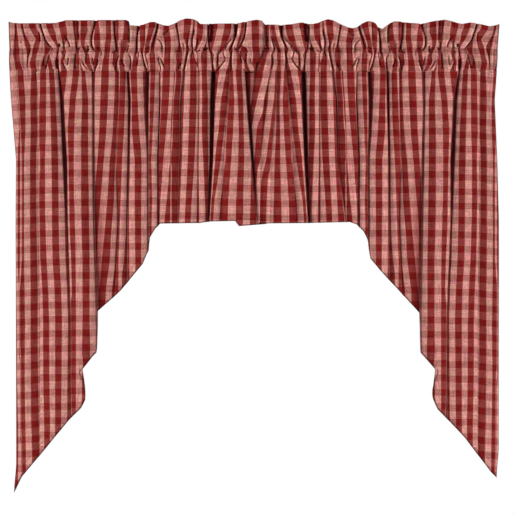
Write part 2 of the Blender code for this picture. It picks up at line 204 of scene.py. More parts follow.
# The red stripes on a heading: each one's outer edge, then its inner edge, at the HEADING_LEVELS.
HEADING_LEVELS = (24, 31, 38, 44, 49.5, 55, 63, 71.5)
HEADING_STRIPES = (
    ((14.6, 14.4, 14, 13.6, 13.2, 13.4, 15.2, 16.8), (16.4, 17.2, 17.8, 18, 19, 19.2, 20.4, 23)),
    ((20.6, 22.2, 24, 24.6, 26.2, 27.2, 27.4, 28.2), (22.8, 24.2, 26.8, 30, 30.6, 28.8, 28.2, 28.3)),
    ((28.6, 32.2, 35.8, 33.4, 32.2, 32.2, 30.2, 31.6), (35.4, 38.6, 40, 39, 37.8, 36.6, 35.8, 37.3)),
    ((39.2, 41.2, 43.4, 43.8, 44.4, 44.4, 42, 40.6), (40.3, 42.5, 44.5, 48.4, 50.2, 47, 45.4, 46)),
    ((40.4, 42.6, 44.6, 49, 51.6, 49.2, 48, 48.9), (40.5, 42.7, 44.7, 49.1, 51.7, 49.5, 51.4, 53.4)),
    ((46.2, 48.6, 51.8, 55.6, 57.4, 56.5, 54.8, 56.2), (52.6, 55, 55.9, 57.8, 58.6, 58.5, 59.4, 59)),
    ((58.6, 60.2, 61.5, 63, 63, 62.5, 60.6, 61.5), (65.4, 66.6, 67, 64.4, 64.5, 63.9, 63.6, 64.5)),
    ((72.6, 73.6, 74.8, 75, 75.8, 75, 74.4, 73.2), (78.2, 78.8, 79.4, 77.6, 78.5, 78.6, 79.8, 79)),
    ((78.3, 78.9, 79.5, 77.7, 78.6, 78.7, 80.3, 80.8), (78.4, 79, 79.6, 77.8, 78.7, 78.8, 80.4, 83.6)),
    ((80.4, 80, 79.8, 80.6, 82.6, 85.4, 85.2, 90.4), (87, 87, 84.6, 83.8, 85, 89, 90.4, 93.2)),
    ((93.4, 94.6, 93.8, 94.2, 95.4, 95.4, 93.2, 93.9), (98.2, 99.4, 99.6, 99.6, 99.8, 98.8, 97.8, 95.2)),
    ((105.8, 106, 105.8, 104.6, 104.4, 104.4, 102.8, 101.6),
     (110.6, 110.6, 111, 110.2, 109.8, 109.6, 109, 108.6)),
    ((113, 113.4, 113.6, 114.8, 115.2, 113.2, 112.8, 114.8),
     (118.2, 118, 118.2, 117.8, 118.6, 117.4, 117.4, 118.5)),
    ((124.2, 123.8, 122.8, 121.8, 120.2, 120.2, 119.4, 120.2),
     (128.2, 127.8, 127.6, 126.2, 125.4, 123.4, 123.4, 125)),
    ((136.8, 135.9, 135.5, 135.4, 135.3, 134.4, 133, 131),
     (138.4, 137.6, 137.3, 137.2, 137.3, 136.2, 137, 136.8)),
    ((138.8, 139.4, 139.6, 140, 140, 141.6, 143.4, 144.8),
     (145.4, 144.8, 144.6, 143.8, 143.2, 142.8, 144.6, 147.4)),
    ((148.6, 147.6, 146.2, 145, 144.6, 144.4, 146.8, 148.6),
     (155.2, 153, 151, 149.4, 149.8, 145.4, 148, 149.2)),
    ((156.2, 154.6, 152.2, 150.2, 150.4, 149.8, 150.2, 150),
     (158.8, 157.4, 155.8, 155, 153.4, 154.6, 155, 155.3)),
    ((163.4, 162.6, 164.6, 165, 165, 164.8, 164.2, 163.6),
     (168.8, 169.8, 170.6, 170.6, 170.4, 170.2, 170.2, 170.2)),
    ((175.2, 176.6, 177.8, 178.4, 177, 176, 176.8, 175.6),
     (177.4, 178.4, 179.4, 180.2, 181.8, 182, 181.8, 180.4)),
    ((184, 183.8, 183.2, 185.8, 186.2, 185.4, 184.4, 181.8),
     (191.2, 190, 189, 188, 189.4, 188.2, 186.4, 184.4)),
    ((193.4, 192.2, 191.4, 191.2, 191.8, 190.4, 190, 190.5),
     (194.6, 194.2, 193, 192.8, 193.4, 194, 196.6, 196.4)),
    ((197, 196.8, 196.4, 195.8, 195, 197.6, 197.2, 198.6),
     (203, 202.8, 201.8, 199, 196.4, 197.8, 198.6, 199.2)),
    ((207.6, 207.2, 206.6, 205.2, 203.2, 201.2, 201.4, 201.9),
     (207.7, 207.3, 206.7, 206.4, 206.8, 207, 207.2, 206.7)),
    ((208.2, 207.8, 207.4, 208.2, 208.4, 211.2, 211.6, 211.8),
     (217.4, 215.6, 214.6, 213, 211.2, 214, 213.2, 215.4)),
    ((224.6, 223.4, 222, 221, 219.6, 217.2, 216.4, 216.2),
     (231.2, 230.2, 228.4, 225.4, 222.6, 218.8, 218.6, 219.2)),
    ((233.8, 234.2, 233.2, 230.4, 228.6, 230.2, 229, 226.8),
     (238.6, 237, 235.4, 232.4, 232.6, 232, 232, 233)),
)
LEFT_HEADING_STRIPES = HEADING_STRIPES + (
    ((241.4, 240.4, 238.4, 237, 235.5, 237, 237, 236.4),
     (244.2, 243.4, 241, 239, 238.4, 239.8, 242, 241.6)),
    ((244.6, 244.2, 242.2, 240, 241, 240.8, 244.4, 244.6),
     (246.8, 246, 245, 242, 247.2, 247, 246.8, 250.5)),
    ((251.8, 252, 252, 252.4, 252.6, 253.4, 252.6, 254.5),
     (258.6, 259, 259, 259, 259.4, 259.8, 259.5, 260.5)),
    ((264.3, 264.3, 264.3, 264.3, 264.4, 266, 268, 269), (268, 268, 268, 268, 268, 270, 272, 272)),
)
RIGHT_HEADING_STRIPES = HEADING_STRIPES + (
    ((242.4, 241.2, 239.6, 238, 236.4, 236.4, 236.4, 236.3),
     (246.8, 245.4, 244.4, 242.2, 239.8, 239.6, 239.2, 240.8)),
    ((246.9, 245.5, 244.5, 242.4, 241.6, 244.2, 243.2, 245.6),
     (247.4, 246.2, 245.8, 244.2, 243.4, 245.8, 246, 247.6)),
    ((248, 248, 248, 248.2, 247.5, 250, 252, 254), (252.6, 252.4, 251.8, 252, 255.6, 256.2, 258, 261.5)),
    ((260, 260, 260, 260, 262, 263, 265, 267), (266, 266, 266, 266, 268, 269, 271, 273)),
)
HEADING_ROWS = (23, 36.8, 49, 61.3, 73.2)   # middles of the heading's red rows
PITCH_ABOVE = 13.8              # height of a repeat above the first of them, in squares
PITCH_BELOW = 14.3              # and below the last

# The cut lower edge. A thread that hangs "out" from the centre line ends at "end_out" and "drop".
LEFT_HEM = (
    # out  end_out  drop
    (469, 473, 914),            # point of the tail
    (458, 458, 883),
    (411, 411, 827),
    (365, 365, 771),
    (351, 343, 750),
    (346, 334, 732),            # the edge swings out towards the centre
    (343, 335, 715),
    (339, 347, 682),            # notch in the inner edge
    (330, 338, 672),
    (318, 320, 649),
    (314, 313, 642),            # foot of the upright inner edge
    (311, 311, 562),            # head of the upright inner edge
    (268, 268, 524),
    (224, 224, 471),
    (213, 213, 444),
    (211, 211, 421),
    (200, 200, 403),
    (191, 191, 393),
    (113, 113, 392),
    (94, 94, 389),
    (45, 45, 388),
    (38, 38, 398),
    (-13, -13, 394),
    (-24, -24, 391),
)
RIGHT_HEM = (
    (465, 461, 885),
    (450, 450, 874),
    (398, 398, 806),
    (367, 367, 773),
    (353, 346, 752),
    (347, 335, 727),
    (343, 340, 703),
    (339, 348, 682),
    (330, 340, 673),
    (314, 314, 643),
    (311, 312, 566),
    (289, 289, 541),
    (235, 235, 483),
    (216, 216, 460),
    (212, 212, 425),
    (204, 204, 409),
    (191, 191, 395),
    (177, 177, 390),
    (96, 96, 392),
    (-20, -20, 393),
)
HEM_SWING = 60                  # height over which a thread bends towards its end on the hem

# The ruffle's top edge, in squares, and the outer and inner side of each heading at its top and at its seams.
LEFT_TOP = ((8.5, 21.5), (12, 22.7), (20, 23.2), (40, 22.7), (50, 23), (56, 22.5), (62, 21), (66, 20),
            (85, 20), (105, 19.8), (126, 19.7), (128.3, 20.5), (129.8, 25), (135, 25.3), (143, 24.5),
            (150, 22), (154, 21.7), (158, 23), (163, 25), (168, 25.5), (174, 23.5), (180, 20), (186, 18.2),
            (192, 18.7), (197, 20.5), (200, 23.7), (205, 24), (210, 23.2), (230, 23.3), (240, 22.5),
            (247, 21), (257, 19.5), (262, 20.5), (265, 24.3))
RIGHT_TOP = ((17.5, 24), (22, 25.3), (27, 26), (34, 24.3), (41, 22.8), (47, 22.3), (54, 23.7), (59, 22.8),
             (65, 21), (72, 19.5), (80, 20.3), (86, 21.5), (92, 23), (97, 23.3), (107, 22.7), (117, 21.3),
             (122, 21), (127, 23), (131, 26), (134.5, 28.7), (138, 26.5), (142, 22.5), (147, 21),
             (150, 21.3), (155, 23.5), (160, 27), (164, 28), (169, 27), (174, 25), (179, 22.5), (184, 20),
             (189, 19), (194, 20.5), (199, 22.8), (204, 23.8), (209, 23.3), (214, 22), (219, 22.7),
             (225, 24), (232, 24.5), (251, 24.3), (253, 23))
LEFT_SIDES = ((8.3, 9, 9.6), (266.6, 266.6, 266.6))
RIGHT_SIDES = ((17.3, 19, 20.7), (252.5, 253.4, 261.5))

# Creases of a heading, outermost first: width and depth in millimetres, then points (across, down).
CREASES = (
    (2.8, 2.5, ((15.9, 23), (16, 30), (15.6, 38))),
    (2.8, 2.5, ((22, 23), (23.8, 31), (25.4, 38))),
    (2.8, 4.5, ((30.2, 47), (29.4, 52), (28.3, 57), (27.8, 63), (27.4, 68))),
    (2.8, 5, ((38.6, 29), (39.7, 36), (39.6, 42))),
    (2.4, 3, ((19.5, 40), (22.5, 42.5))),
    (3.8, 12, ((39.6, 21), (41.3, 28), (43, 33), (44.4, 38), (46.4, 41.5), (49.3, 45), (53, 49.5))),
    (3.8, 9, ((49.2, 54), (48.2, 58), (47.3, 62), (46.2, 67), (45.6, 72))),
    (2.4, 4, ((44.6, 55.5), (43.8, 60), (43.6, 66))),
    (5.2, 11, ((59, 43), (58.6, 46.5))),
    (3, 6, ((57.6, 48.5), (57.1, 55), (56.2, 60))),
    (8, 10, ((57, 58), (57.2, 65), (57.8, 72), (58.5, 76))),
    (3.2, 7, ((62.6, 40), (63.4, 44), (63.6, 49))),
    (3.4, 7, ((62, 50.5), (62.8, 54))),
    (3.6, 9, ((64.6, 36), (66.6, 39), (68.4, 42.5), (69.5, 47))),
    (2.6, 4, ((65.8, 50), (64.8, 56), (64.4, 60))),
    (3, 6, ((68.5, 57), (68.3, 62), (67.5, 66))),
    (3.2, 8, ((63.2, 62.5), (64.6, 67), (66.2, 71), (66.4, 76))),
    (2.6, 3.5, ((73.8, 20), (74.2, 30), (75.2, 38), (75.6, 43))),
    (2.6, 3.5, ((77.6, 20), (77.6, 30), (78.2, 40))),
    (3.4, 7, ((75.4, 41), (76, 46), (76.9, 50))),
    (2.8, 6, ((81, 46.3), (78.8, 48.4), (76.8, 49.6))),
    (4.8, 9, ((75.6, 53), (75, 58), (74.8, 64), (75.2, 76))),
    (5.2, 12, ((95.6, 20), (93.8, 26), (92.2, 31), (91, 36), (90.7, 41), (91, 45), (92.6, 48), (95.5, 51.5))),
    (6.6, 11, ((88, 45.3), (87.2, 50), (86.8, 53))),
    (3, 6, ((82.3, 61), (84, 65), (87, 68.5), (91, 73))),
    (2.6, 4, ((86.6, 53), (86, 58), (86, 63))),
    (3, 6, ((92.4, 57), (92.8, 61), (93.6, 66))),
    (2.4, 4, ((90, 70.8), (94.5, 69.3))),
    (4, 8, ((98.4, 59), (97, 65), (94.8, 69.5), (93.9, 76))),
    (2.6, 6, ((96.6, 47.6), (100.8, 48.4))),
    (2.4, 4, ((100.9, 50), (102.2, 56))),
    (4.2, 8, ((113.8, 21), (114.4, 34), (115.4, 41), (116.3, 49), (119.4, 53))),
    (3.2, 7, ((116, 49.5), (112.6, 53.5))),
    (2.6, 4, ((122, 39), (120.8, 45), (121, 49))),
    (3.6, 7, ((119.6, 54), (117.6, 59), (116.8, 63), (115.8, 68), (116.4, 76))),
    (2.6, 6, ((113, 62), (113.9, 66))),
    (3, 8, ((121.6, 59), (122.8, 63.5), (125, 67))),
    (3.8, 9, ((127.5, 19), (128.9, 26), (128.9, 34), (128.4, 43))),
    (3, 6, ((128.2, 44), (127.6, 48), (126.6, 52.5))),
    (4, 9, ((129.5, 54.5), (130.5, 59), (130.6, 63), (129.9, 68), (128.8, 76))),
    (5.6, 14, ((138.2, 21), (136.9, 30), (136.4, 37), (136.2, 45), (136.4, 54))),
    (2.8, 6, ((138.6, 50), (138.2, 57), (137.5, 64), (137, 67.5))),
    (3.8, 9, ((141.8, 50), (142.4, 55), (143.4, 60), (144.6, 65), (146.8, 69), (147.6, 76))),
    (2.4, 5, ((146, 48.4), (149.4, 47.2))),
    (2.4, 5, ((147, 52), (149.8, 52))),
    (2.6, 3, ((144.8, 26), (144.6, 38), (144, 48))),
    (4.4, 8, ((157.7, 21), (156.2, 30), (154.6, 36), (153.4, 42), (151.4, 49))),
    (3, 10, ((156.3, 37.3), (159, 38.8), (161, 41.5), (161.8, 45), (161.6, 48), (162.1, 52))),
    (3, 8, ((160, 56.5), (158.4, 59.5), (159.3, 63), (160.4, 67), (161, 73))),
    (3, 8, ((160.2, 57.5), (161.8, 61.3), (163.4, 65), (165, 68))),
    (2.8, 4, ((167.6, 26.3), (165, 30), (162.6, 32.4))),
    (2.4, 4, ((164.8, 33), (165.4, 44), (165.6, 56))),
    (3, 4.4, ((176.2, 19), (177, 28), (178.3, 36), (179.2, 42), (179.8, 48), (181.6, 51.3))),
    (2.8, 6, ((175.2, 51.7), (178.5, 50.3), (182.3, 51.7))),
    (3.2, 7, ((181.3, 62), (180.4, 65), (178.6, 67.3), (177.6, 71), (177.2, 76))),
    (2.8, 4.2, ((187.4, 38), (187.2, 44), (187.8, 50))),
    (2.4, 4, ((182.8, 42), (183.6, 46), (184.2, 50))),
    (4, 9, ((187.8, 50.5), (187, 56), (186, 61), (185, 66), (184, 71), (182.8, 76))),
    (4.2, 11, ((194.4, 29), (193.4, 34), (192, 38), (191.6, 42), (191.8, 46), (193, 49))),
    (3, 7, ((192.8, 49.5), (192.2, 53), (190.6, 57))),
    (3.4, 7, ((197.6, 37), (197.4, 43), (196.2, 47), (194.5, 51.5))),
    (2.4, 6, ((192.8, 51), (194.5, 54.7))),
    (2.4, 4, ((195, 60), (197, 64), (198.8, 69))),
    (2.4, 5, ((197.6, 51.7), (200.6, 49.8))),
    (3.4, 9, ((203, 47.7), (205.4, 49.8), (208, 47.2))),
    (2.4, 5, ((204.6, 47.4), (206.7, 41.5))),
    (3.2, 13, ((208.3, 20), (208.2, 30), (208.2, 38), (208.8, 44), (209.6, 50))),
    (10, 6.2, ((212, 20), (211.7, 30), (210.7, 38), (209.8, 43))),
    (3.8, 9, ((210.8, 50), (211.6, 55.5), (212.3, 62), (212.8, 70), (213.4, 76))),
    (3.2, 8, ((219.6, 49.8), (217.8, 54.5), (217.9, 60), (217, 66.5))),
    (3.2, 8, ((220.2, 50.9), (222.2, 50.3))),
    (3, 8, ((223.7, 49.5), (223.2, 53), (224.4, 57), (226.2, 59.3))),
    (3.4, 8, ((226.2, 58.5), (224, 61.7), (222, 64.5), (219.5, 67.5), (216.8, 70.5), (214.8, 72.5))),
    (8.4, 14, ((236, 20), (235.7, 28), (235.2, 33), (234.4, 37))),
    (4.6, 12, ((234.6, 36), (233, 41), (231.6, 45), (229.8, 49.5))),
    (3.6, 10, ((232.8, 35), (230.6, 38.5), (228.6, 41), (226.2, 44.5), (224.8, 49))),
    (3.8, 9, ((231.7, 49.5), (231.2, 55), (231, 60), (231, 66), (231.7, 76))),
)
LEFT_CREASES = CREASES + (
    (4, 10, ((246, 20), (245, 31), (243.6, 37), (242, 41), (240.3, 44.5), (239.2, 47.6), (237.4, 49.9))),
    (2.8, 7, ((234.3, 46), (235.4, 49), (237.4, 50))),
    (2.8, 7, ((240.9, 50), (240.6, 56), (241.9, 63.5))),
    (2.8, 6, ((245, 46.3), (246.6, 49), (248.2, 52.5))),
    (3.2, 9, ((246.6, 53), (246.2, 58), (245.3, 64))),
    (2.4, 4, ((245.4, 64), (247, 68), (249.4, 72))),
    (3.2, 7, ((244.2, 69), (244.8, 76))),
    (2.4, 4, ((250, 57.5), (251, 62.5), (253.6, 66.7))),
    (2.8, 6, ((258.2, 62), (256.6, 66), (256.3, 71))),
)
RIGHT_CREASES = CREASES + (
    (3.2, 9, ((246, 34), (244.2, 40.5), (243, 45), (242.4, 50))),
    (3, 7, ((239.9, 48), (237.6, 52.7))),
    (3.4, 6, ((245.6, 55), (244.6, 62), (245.4, 70), (246.6, 76))),
    (5, 9, ((251.8, 20), (250.9, 34), (250.6, 44), (249, 48.6))),
    (2.8, 6, ((249.5, 47.6), (254.4, 48.9))),
)

# Linear colours of the two yarns, and how much of the weft yarn shows on a warp stripe of each colour.
RED = (0.214, 0.0047, 0.0082)
BRICK = (0.219, 0.0108, 0.0052)  # the red yarn where it is browner
PINK = (0.75, 0.278, 0.284)
BEIGE = (0.7, 0.366, 0.268)     # the pink yarn where it is paler
WEFT_ON_RED = 0.112
WEFT_ON_PINK = 0.44


def ease(t):
    """0 to 1 with a level start and end."""
    t = np.clip(t, 0, 1)
    return t * t * (3 - 2 * t)


# ---------------------------------------------------------------- the line of the cloth

TURN_SHARPNESS = 2.8            # how suddenly the cloth turns at a furrow's lips and at its bottom
TURNS = (0.02, 1.95)            # least and greatest turn of the cloth in a furrow, in radians
CHART_STEPS = 200
FACE_COLUMNS = 3                # the least number of columns on a face
FURROW_COLUMNS = 8              # and in a furrow
NARROWEST_FACE = 0.2 * MM


def furrow_swing(t):
    """The heading of the cloth through a furrow, from 0 to 1: back, round the bottom, and out again."""
    return np.tanh(TURN_SHARPNESS * np.sin(2 * math.pi * t)) / math.tanh(TURN_SHARPNESS)


def middles(count):
    """The middles of so many equal steps from 0 to 1."""
    return (np.arange(count) + 0.5) / count


def furrow_chart():
    """For each greatest turn of the cloth: the furrow's width over its depth, and depth over its cloth."""
    turns = np.linspace(*TURNS, 300)
    angles = turns[:, None] * furrow_swing(middles(CHART_STEPS))
    width = np.cos(angles).mean(axis=1)
    depth = np.sin(angles[:, :CHART_STEPS // 2]).mean(axis=1) / 2
    return turns, width / depth, depth


def cloth_line(lips, furrows, depths, bows, levels, step):
    """The line of the cloth across a swag, as seen from above, at several heights.

    The line is a chain of faces and furrows. A face is an arc that bows forward. In a furrow the cloth
    turns back, round and out again, by the angle that gives the furrow its width and depth. Each input is
    a row for each crease and a column for each height. Returns how far out and how far back each point
    is, a row for each height, and the points' places in the chain: 0 to 1 is the first face, 1 to 2 the
    furrow after it, and so on.
    """
    turns, slenderness, depth_share = furrow_chart()
    out = [lips[0][:, None]]
    back = [levels[1][:, None]]
    place = [np.zeros(1)]
    for index in range(1, len(lips)):
        start = lips[index - 1] - furrows[index - 1] / 2
        end = lips[index] + furrows[index] / 2
        width = np.maximum(start - end, NARROWEST_FACE)
        bend = 2 * np.arctan(2 * bows[index] / width)
        count = max(FACE_COLUMNS, round(float(np.mean(width)) / step))
        arc = width * bend / np.maximum(np.sin(bend), 1e-6)
        add_run(out, back, bend[:, None] * (2 * middles(count) - 1), arc / count, end, levels[index])
        place.append(2 * (index - 1) + (np.arange(count) + 1) / count)
        if index == len(lips) - 1:
            break
        turn = np.interp(-furrows[index] / depths[index], -slenderness, turns)
        cloth = depths[index] / np.interp(turn, turns, depth_share)
        count = max(FURROW_COLUMNS, 2 * round(float(np.mean(cloth)) / step / 2))
        far_lip = lips[index] - furrows[index] / 2
        headings = turn[:, None] * furrow_swing(middles(count))
        add_run(out, back, headings, cloth / count, far_lip, levels[index + 1])
        place.append(2 * index - 1 + (np.arange(count) + 1) / count)
    return np.hstack(out), np.hstack(back), np.concatenate(place)


def add_run(out, back, headings, step, end_out, end_back):
    """Adds a stretch of cloth that follows the headings, eased evenly so that it ends where it should."""
    run = np.cumsum(np.cos(headings), axis=1) * step[:, None]
    rise = np.cumsum(np.sin(headings), axis=1) * step[:, None]
    share = np.arange(1, headings.shape[1] + 1) / headings.shape[1]
    start_out = out[-1][:, -1]
    start_back = back[-1][:, -1]
    miss_out = end_out - (start_out - run[:, -1])
    miss_back = end_back - (start_back + rise[:, -1])
    out.append(start_out[:, None] - run + miss_out[:, None] * share)
    back.append(start_back[:, None] + rise + miss_back[:, None] * share)


# ---------------------------------------------------------------- reading the tables

def measures(values, levels, drops):
    """A measure at each drop, from its values at the first of the levels. The last one holds below."""
    values = np.atleast_1d(values)
    return np.interp(drops, levels[:len(values)], values)


def along_chain(place, rows, first=0.0, step=1.0):
    """A row's measure for each point of the chain: its columns' values are those at first, first + step..."""
    return np.array([np.interp(place, first + step * np.arange(len(column)), column) for column in rows.T])


def read_table(table, levels, level, column):
    """Reads a table with a row for each level, between its rows, at the given columns."""
    place = np.clip(np.interp(level, levels, np.arange(len(levels))), 0, len(levels) - 1.001)
    row = place.astype(int)
    share = place - row
    return table[row, column] * (1 - share) + table[row + 1, column] * share


def across(out):
    """Squares across, from metres out."""
    return MIDLINE - out / MM / SQUARE


def down(drop):
    """Squares down, from millimetres of drop."""
    return TOPLINE + drop / SQUARE


def read_stripes(place, edges, numbers):
    """The check's place at each square across, in repeats: a red stripe runs from its number to half more.

    Between the charted edges it is read in a straight line, and beyond them it runs on at REPEAT.
    """
    check = np.interp(place, edges, numbers)
    return check + np.minimum(place - edges[0], 0) / REPEAT + np.maximum(place - edges[-1], 0) / REPEAT


def panel_stripes(folds, stripes, out, place, drops):
    """The check's place across a panel: charted on each face, and run on evenly through each furrow."""
    check = np.zeros(out.shape)
    in_furrow = (np.ceil(place).astype(int) % 2 == 0) & (place > 0)
    on_faces = ~in_furrow
    for row, level in enumerate(down(drops)):
        for index, (face, *_) in enumerate(folds[1:]):
            edges, numbers = [], []
            for name, number, chart in stripes:
                if name == face:
                    heights, outer, inner = np.array(chart).T
                    edges += [np.interp(level, heights, outer), np.interp(level, heights, inner)]
                    numbers += [number, number + 0.5]
            on_face = (place >= 2 * index) & (place <= 2 * index + 1)
            check[row, on_face] = read_stripes(across(out[row, on_face]), edges, numbers)
        check[row, in_furrow] = np.interp(place[in_furrow], place[on_faces], check[row, on_faces])
    return check


def row_shifts(folds, place, drops):
    """How far down the check's rows lie on each face at each height, run on evenly through the furrows."""
    return along_chain(place, np.array([
        measures(ROW_SHIFTS[face], ROW_DROPS, drops) + tilt
        for face, *_ in folds[1:] for tilt in ROW_TILTS.get(face, (0, 0))]))


# ---------------------------------------------------------------- sheets

def make_sheet(name, points, check, edge, shade, material):
    """A mesh on a grid of points, with the check's coordinates as its UV map.

    "edge" is the distance from the nearest turned hem, in metres, and "shade" the shade painted at a point,
    from
    0 to 1 by how deep in a furrow it lies, and below 0 for a highlight painted on a crest. Both are kept as
    attributes.
    """
    rows, columns = points.shape[:2]
    corner = np.arange(rows * columns).reshape(rows, columns)
    faces = np.stack((corner[:-1, :-1], corner[:-1, 1:], corner[1:, 1:], corner[1:, :-1]), axis=2)
    faces = faces.reshape(-1, 4)
    mesh = bpy.data.meshes.new(name)
    mesh.vertices.add(rows * columns)
    mesh.vertices.foreach_set("co", points.reshape(-1).astype(np.float32))
    mesh.loops.add(faces.size)
    mesh.loops.foreach_set("vertex_index", faces.reshape(-1).astype(np.int32))
    mesh.polygons.add(len(faces))
    mesh.polygons.foreach_set("loop_start", np.arange(0, faces.size, 4, dtype=np.int32))
    mesh.update(calc_edges=True)
    uv = mesh.uv_layers.new(name="check")
    uv.data.foreach_set("uv", check.reshape(-1, 2)[faces.reshape(-1)].reshape(-1).astype(np.float32))
    # "furrow" holds the painted shade, and below 0 the painted highlight
    for kept, values in (("hem_distance", edge), ("furrow", shade)):
        values = np.broadcast_to(values, (rows, columns)).reshape(-1).astype(np.float32)
        mesh.attributes.new(kept, "FLOAT", "POINT").data.foreach_set("value", values)
    mesh.materials.append(material)
    mesh.shade_smooth()
    mesh.validate()
    sheet = bpy.data.objects.new(name, mesh)
    bpy.context.scene.collection.objects.link(sheet)
    thicken = sheet.modifiers.new("cloth", "SOLIDIFY")
    thicken.thickness = CLOTH
    thicken.offset = 0.0
    return sheet


def sheet_area(points):
    """The area of a grid of points, as the sum of its cells' two triangles."""
    a, b = points[:-1, :-1], points[:-1, 1:]
    c, d = points[1:, 1:], points[1:, :-1]
    first = np.linalg.norm(np.cross(b - a, c - a), axis=2)
    second = np.linalg.norm(np.cross(c - a, d - a), axis=2)
    return float((first + second).sum() / 2)


# The cloth's long waves: height in millimetres, radians for a millimetre across and down, and start.
WAVES = ((0.9, 0.071, 0.0061, 1.0), (0.8, 0.043, -0.0093, 2.3), (0.6, 0.127, 0.0137, 0.4),
         (0.35, 0.271, -0.0171, 1.9))


def unevenness(out, drop):
    """Soft dents and rises of the hanging cloth, as a few long waves that run mostly up and down."""
    return sum(height * np.sin(out * across_it + drop * down_it + start)
               for height, across_it, down_it, start in WAVES) * MM


def gathers(turns):
    """Flat gathers with sharp narrow furrows between them, -1 in the furrow to 1 on the crest.

    A turn is one gather, and two slow sine waves of the turns make them uneven in width. The height is
    1 - 2 exp(-(|sine of the gather| / 0.3)^1.2).
    """
    wobble = 0.5 * np.sin(turns * 1.7) + 0.35 * np.sin(turns * 0.61 + 1.0)
    return 1 - 2 * np.exp(-(np.abs(np.sin(math.pi * turns + wobble)) / 0.3) ** 1.2)


# ---------------------------------------------------------------- panels

PANEL_ROWS = 96
PANEL_STEP = 1.9 * MM           # distance between a panel's columns, along the cloth
LINE_STEP = 6.0                 # height between the lines of the drape, in millimetres
PAST_HEM = 12                   # how far the lines go on below the tail, in millimetres
ROW_CROWDING = 0.35             # how much closer together a panel's rows are near the seam
THREAD_ROUNDS = 6               # how often each thread's end on the hem is read again
FURROW_START = 0.8 * MM         # how far behind the faces a furrow's painted shade starts, and where it is full
FURROW_FULL = 7 * MM
CREST = 3.5 * MM                # width of the painted highlight on a face's crest along a dark furrow
CREST_PAINTED_LIGHT = 0.7               # how strong the crest's painted highlight is
PAINTED_SHADE_WIDTH = 0.7              # share of a face over which the painted shade on its side fades
UNEVEN_PANEL = 0.8              # how much of the unevenness a panel has, UNEVEN_BELOW from its seam down
UNEVEN_BELOW = 60
GATHERS_PER_REPEAT = 2.6        # gathers below the seam, on a repeat of the check
GATHER_DEPTH = 0.7 * MM
GATHER_FADE = 16                # drop over which the gathers and the draw-in at the seam fade
STEEPEST_HEM = 3                # the greatest slope that the hem's height is turned by
SIDE_INSET = 1.2 * MM           # how far the outer side's fold is from the side's edge


def painted_furrow_shades(folds, lips, levels, dark, back, place, drops):
    """Painted shade on the cloth: from 0 to 1 in a furrow, and below 0 for a painted highlight on a crest.

    The painted shade eases in as the cloth goes from FURROW_START to FURROW_FULL behind the faces, times how
    dark the furrow is. A highlight is painted on the crest along a dark furrow's outer lip. Painted shade on
    a shaded side fades from its furrow on.
    """
    shade = ease((back - along_chain(place, np.repeat(levels[1:], 2, axis=0)) - FURROW_START)
                 / (FURROW_FULL - FURROW_START))
    shade = shade * along_chain(place, dark[1:], 1.5, 2.0)
    for index, (face, *_) in enumerate(folds[1:]):
        width = (lips[index] - lips[index + 1])[:, None]
        # painted highlight along the face's inner lip, beside its furrow
        crest = np.clip(1 - (2 * index + 1 - place) * width / CREST, 0, 1) * (place <= 2 * index + 1)
        shade = shade - CREST_PAINTED_LIGHT * dark[index + 1][:, None] * crest
        # painted shade on a face's outer side, where it lies in shade
        if face in PAINTED_SHADE_SIDES:
            on_face = (place >= 2 * index) & (place <= 2 * index + 1)
            painted_side_shade = measures(PAINTED_SHADE_SIDES[face], FOLD_DROPS, drops)[:, None]
            painted_side_shade = painted_side_shade * ease(1 - (place - 2 * index) / PAINTED_SHADE_WIDTH)
            shade = np.where(on_face, np.maximum(shade, painted_side_shade), shade)
    return shade


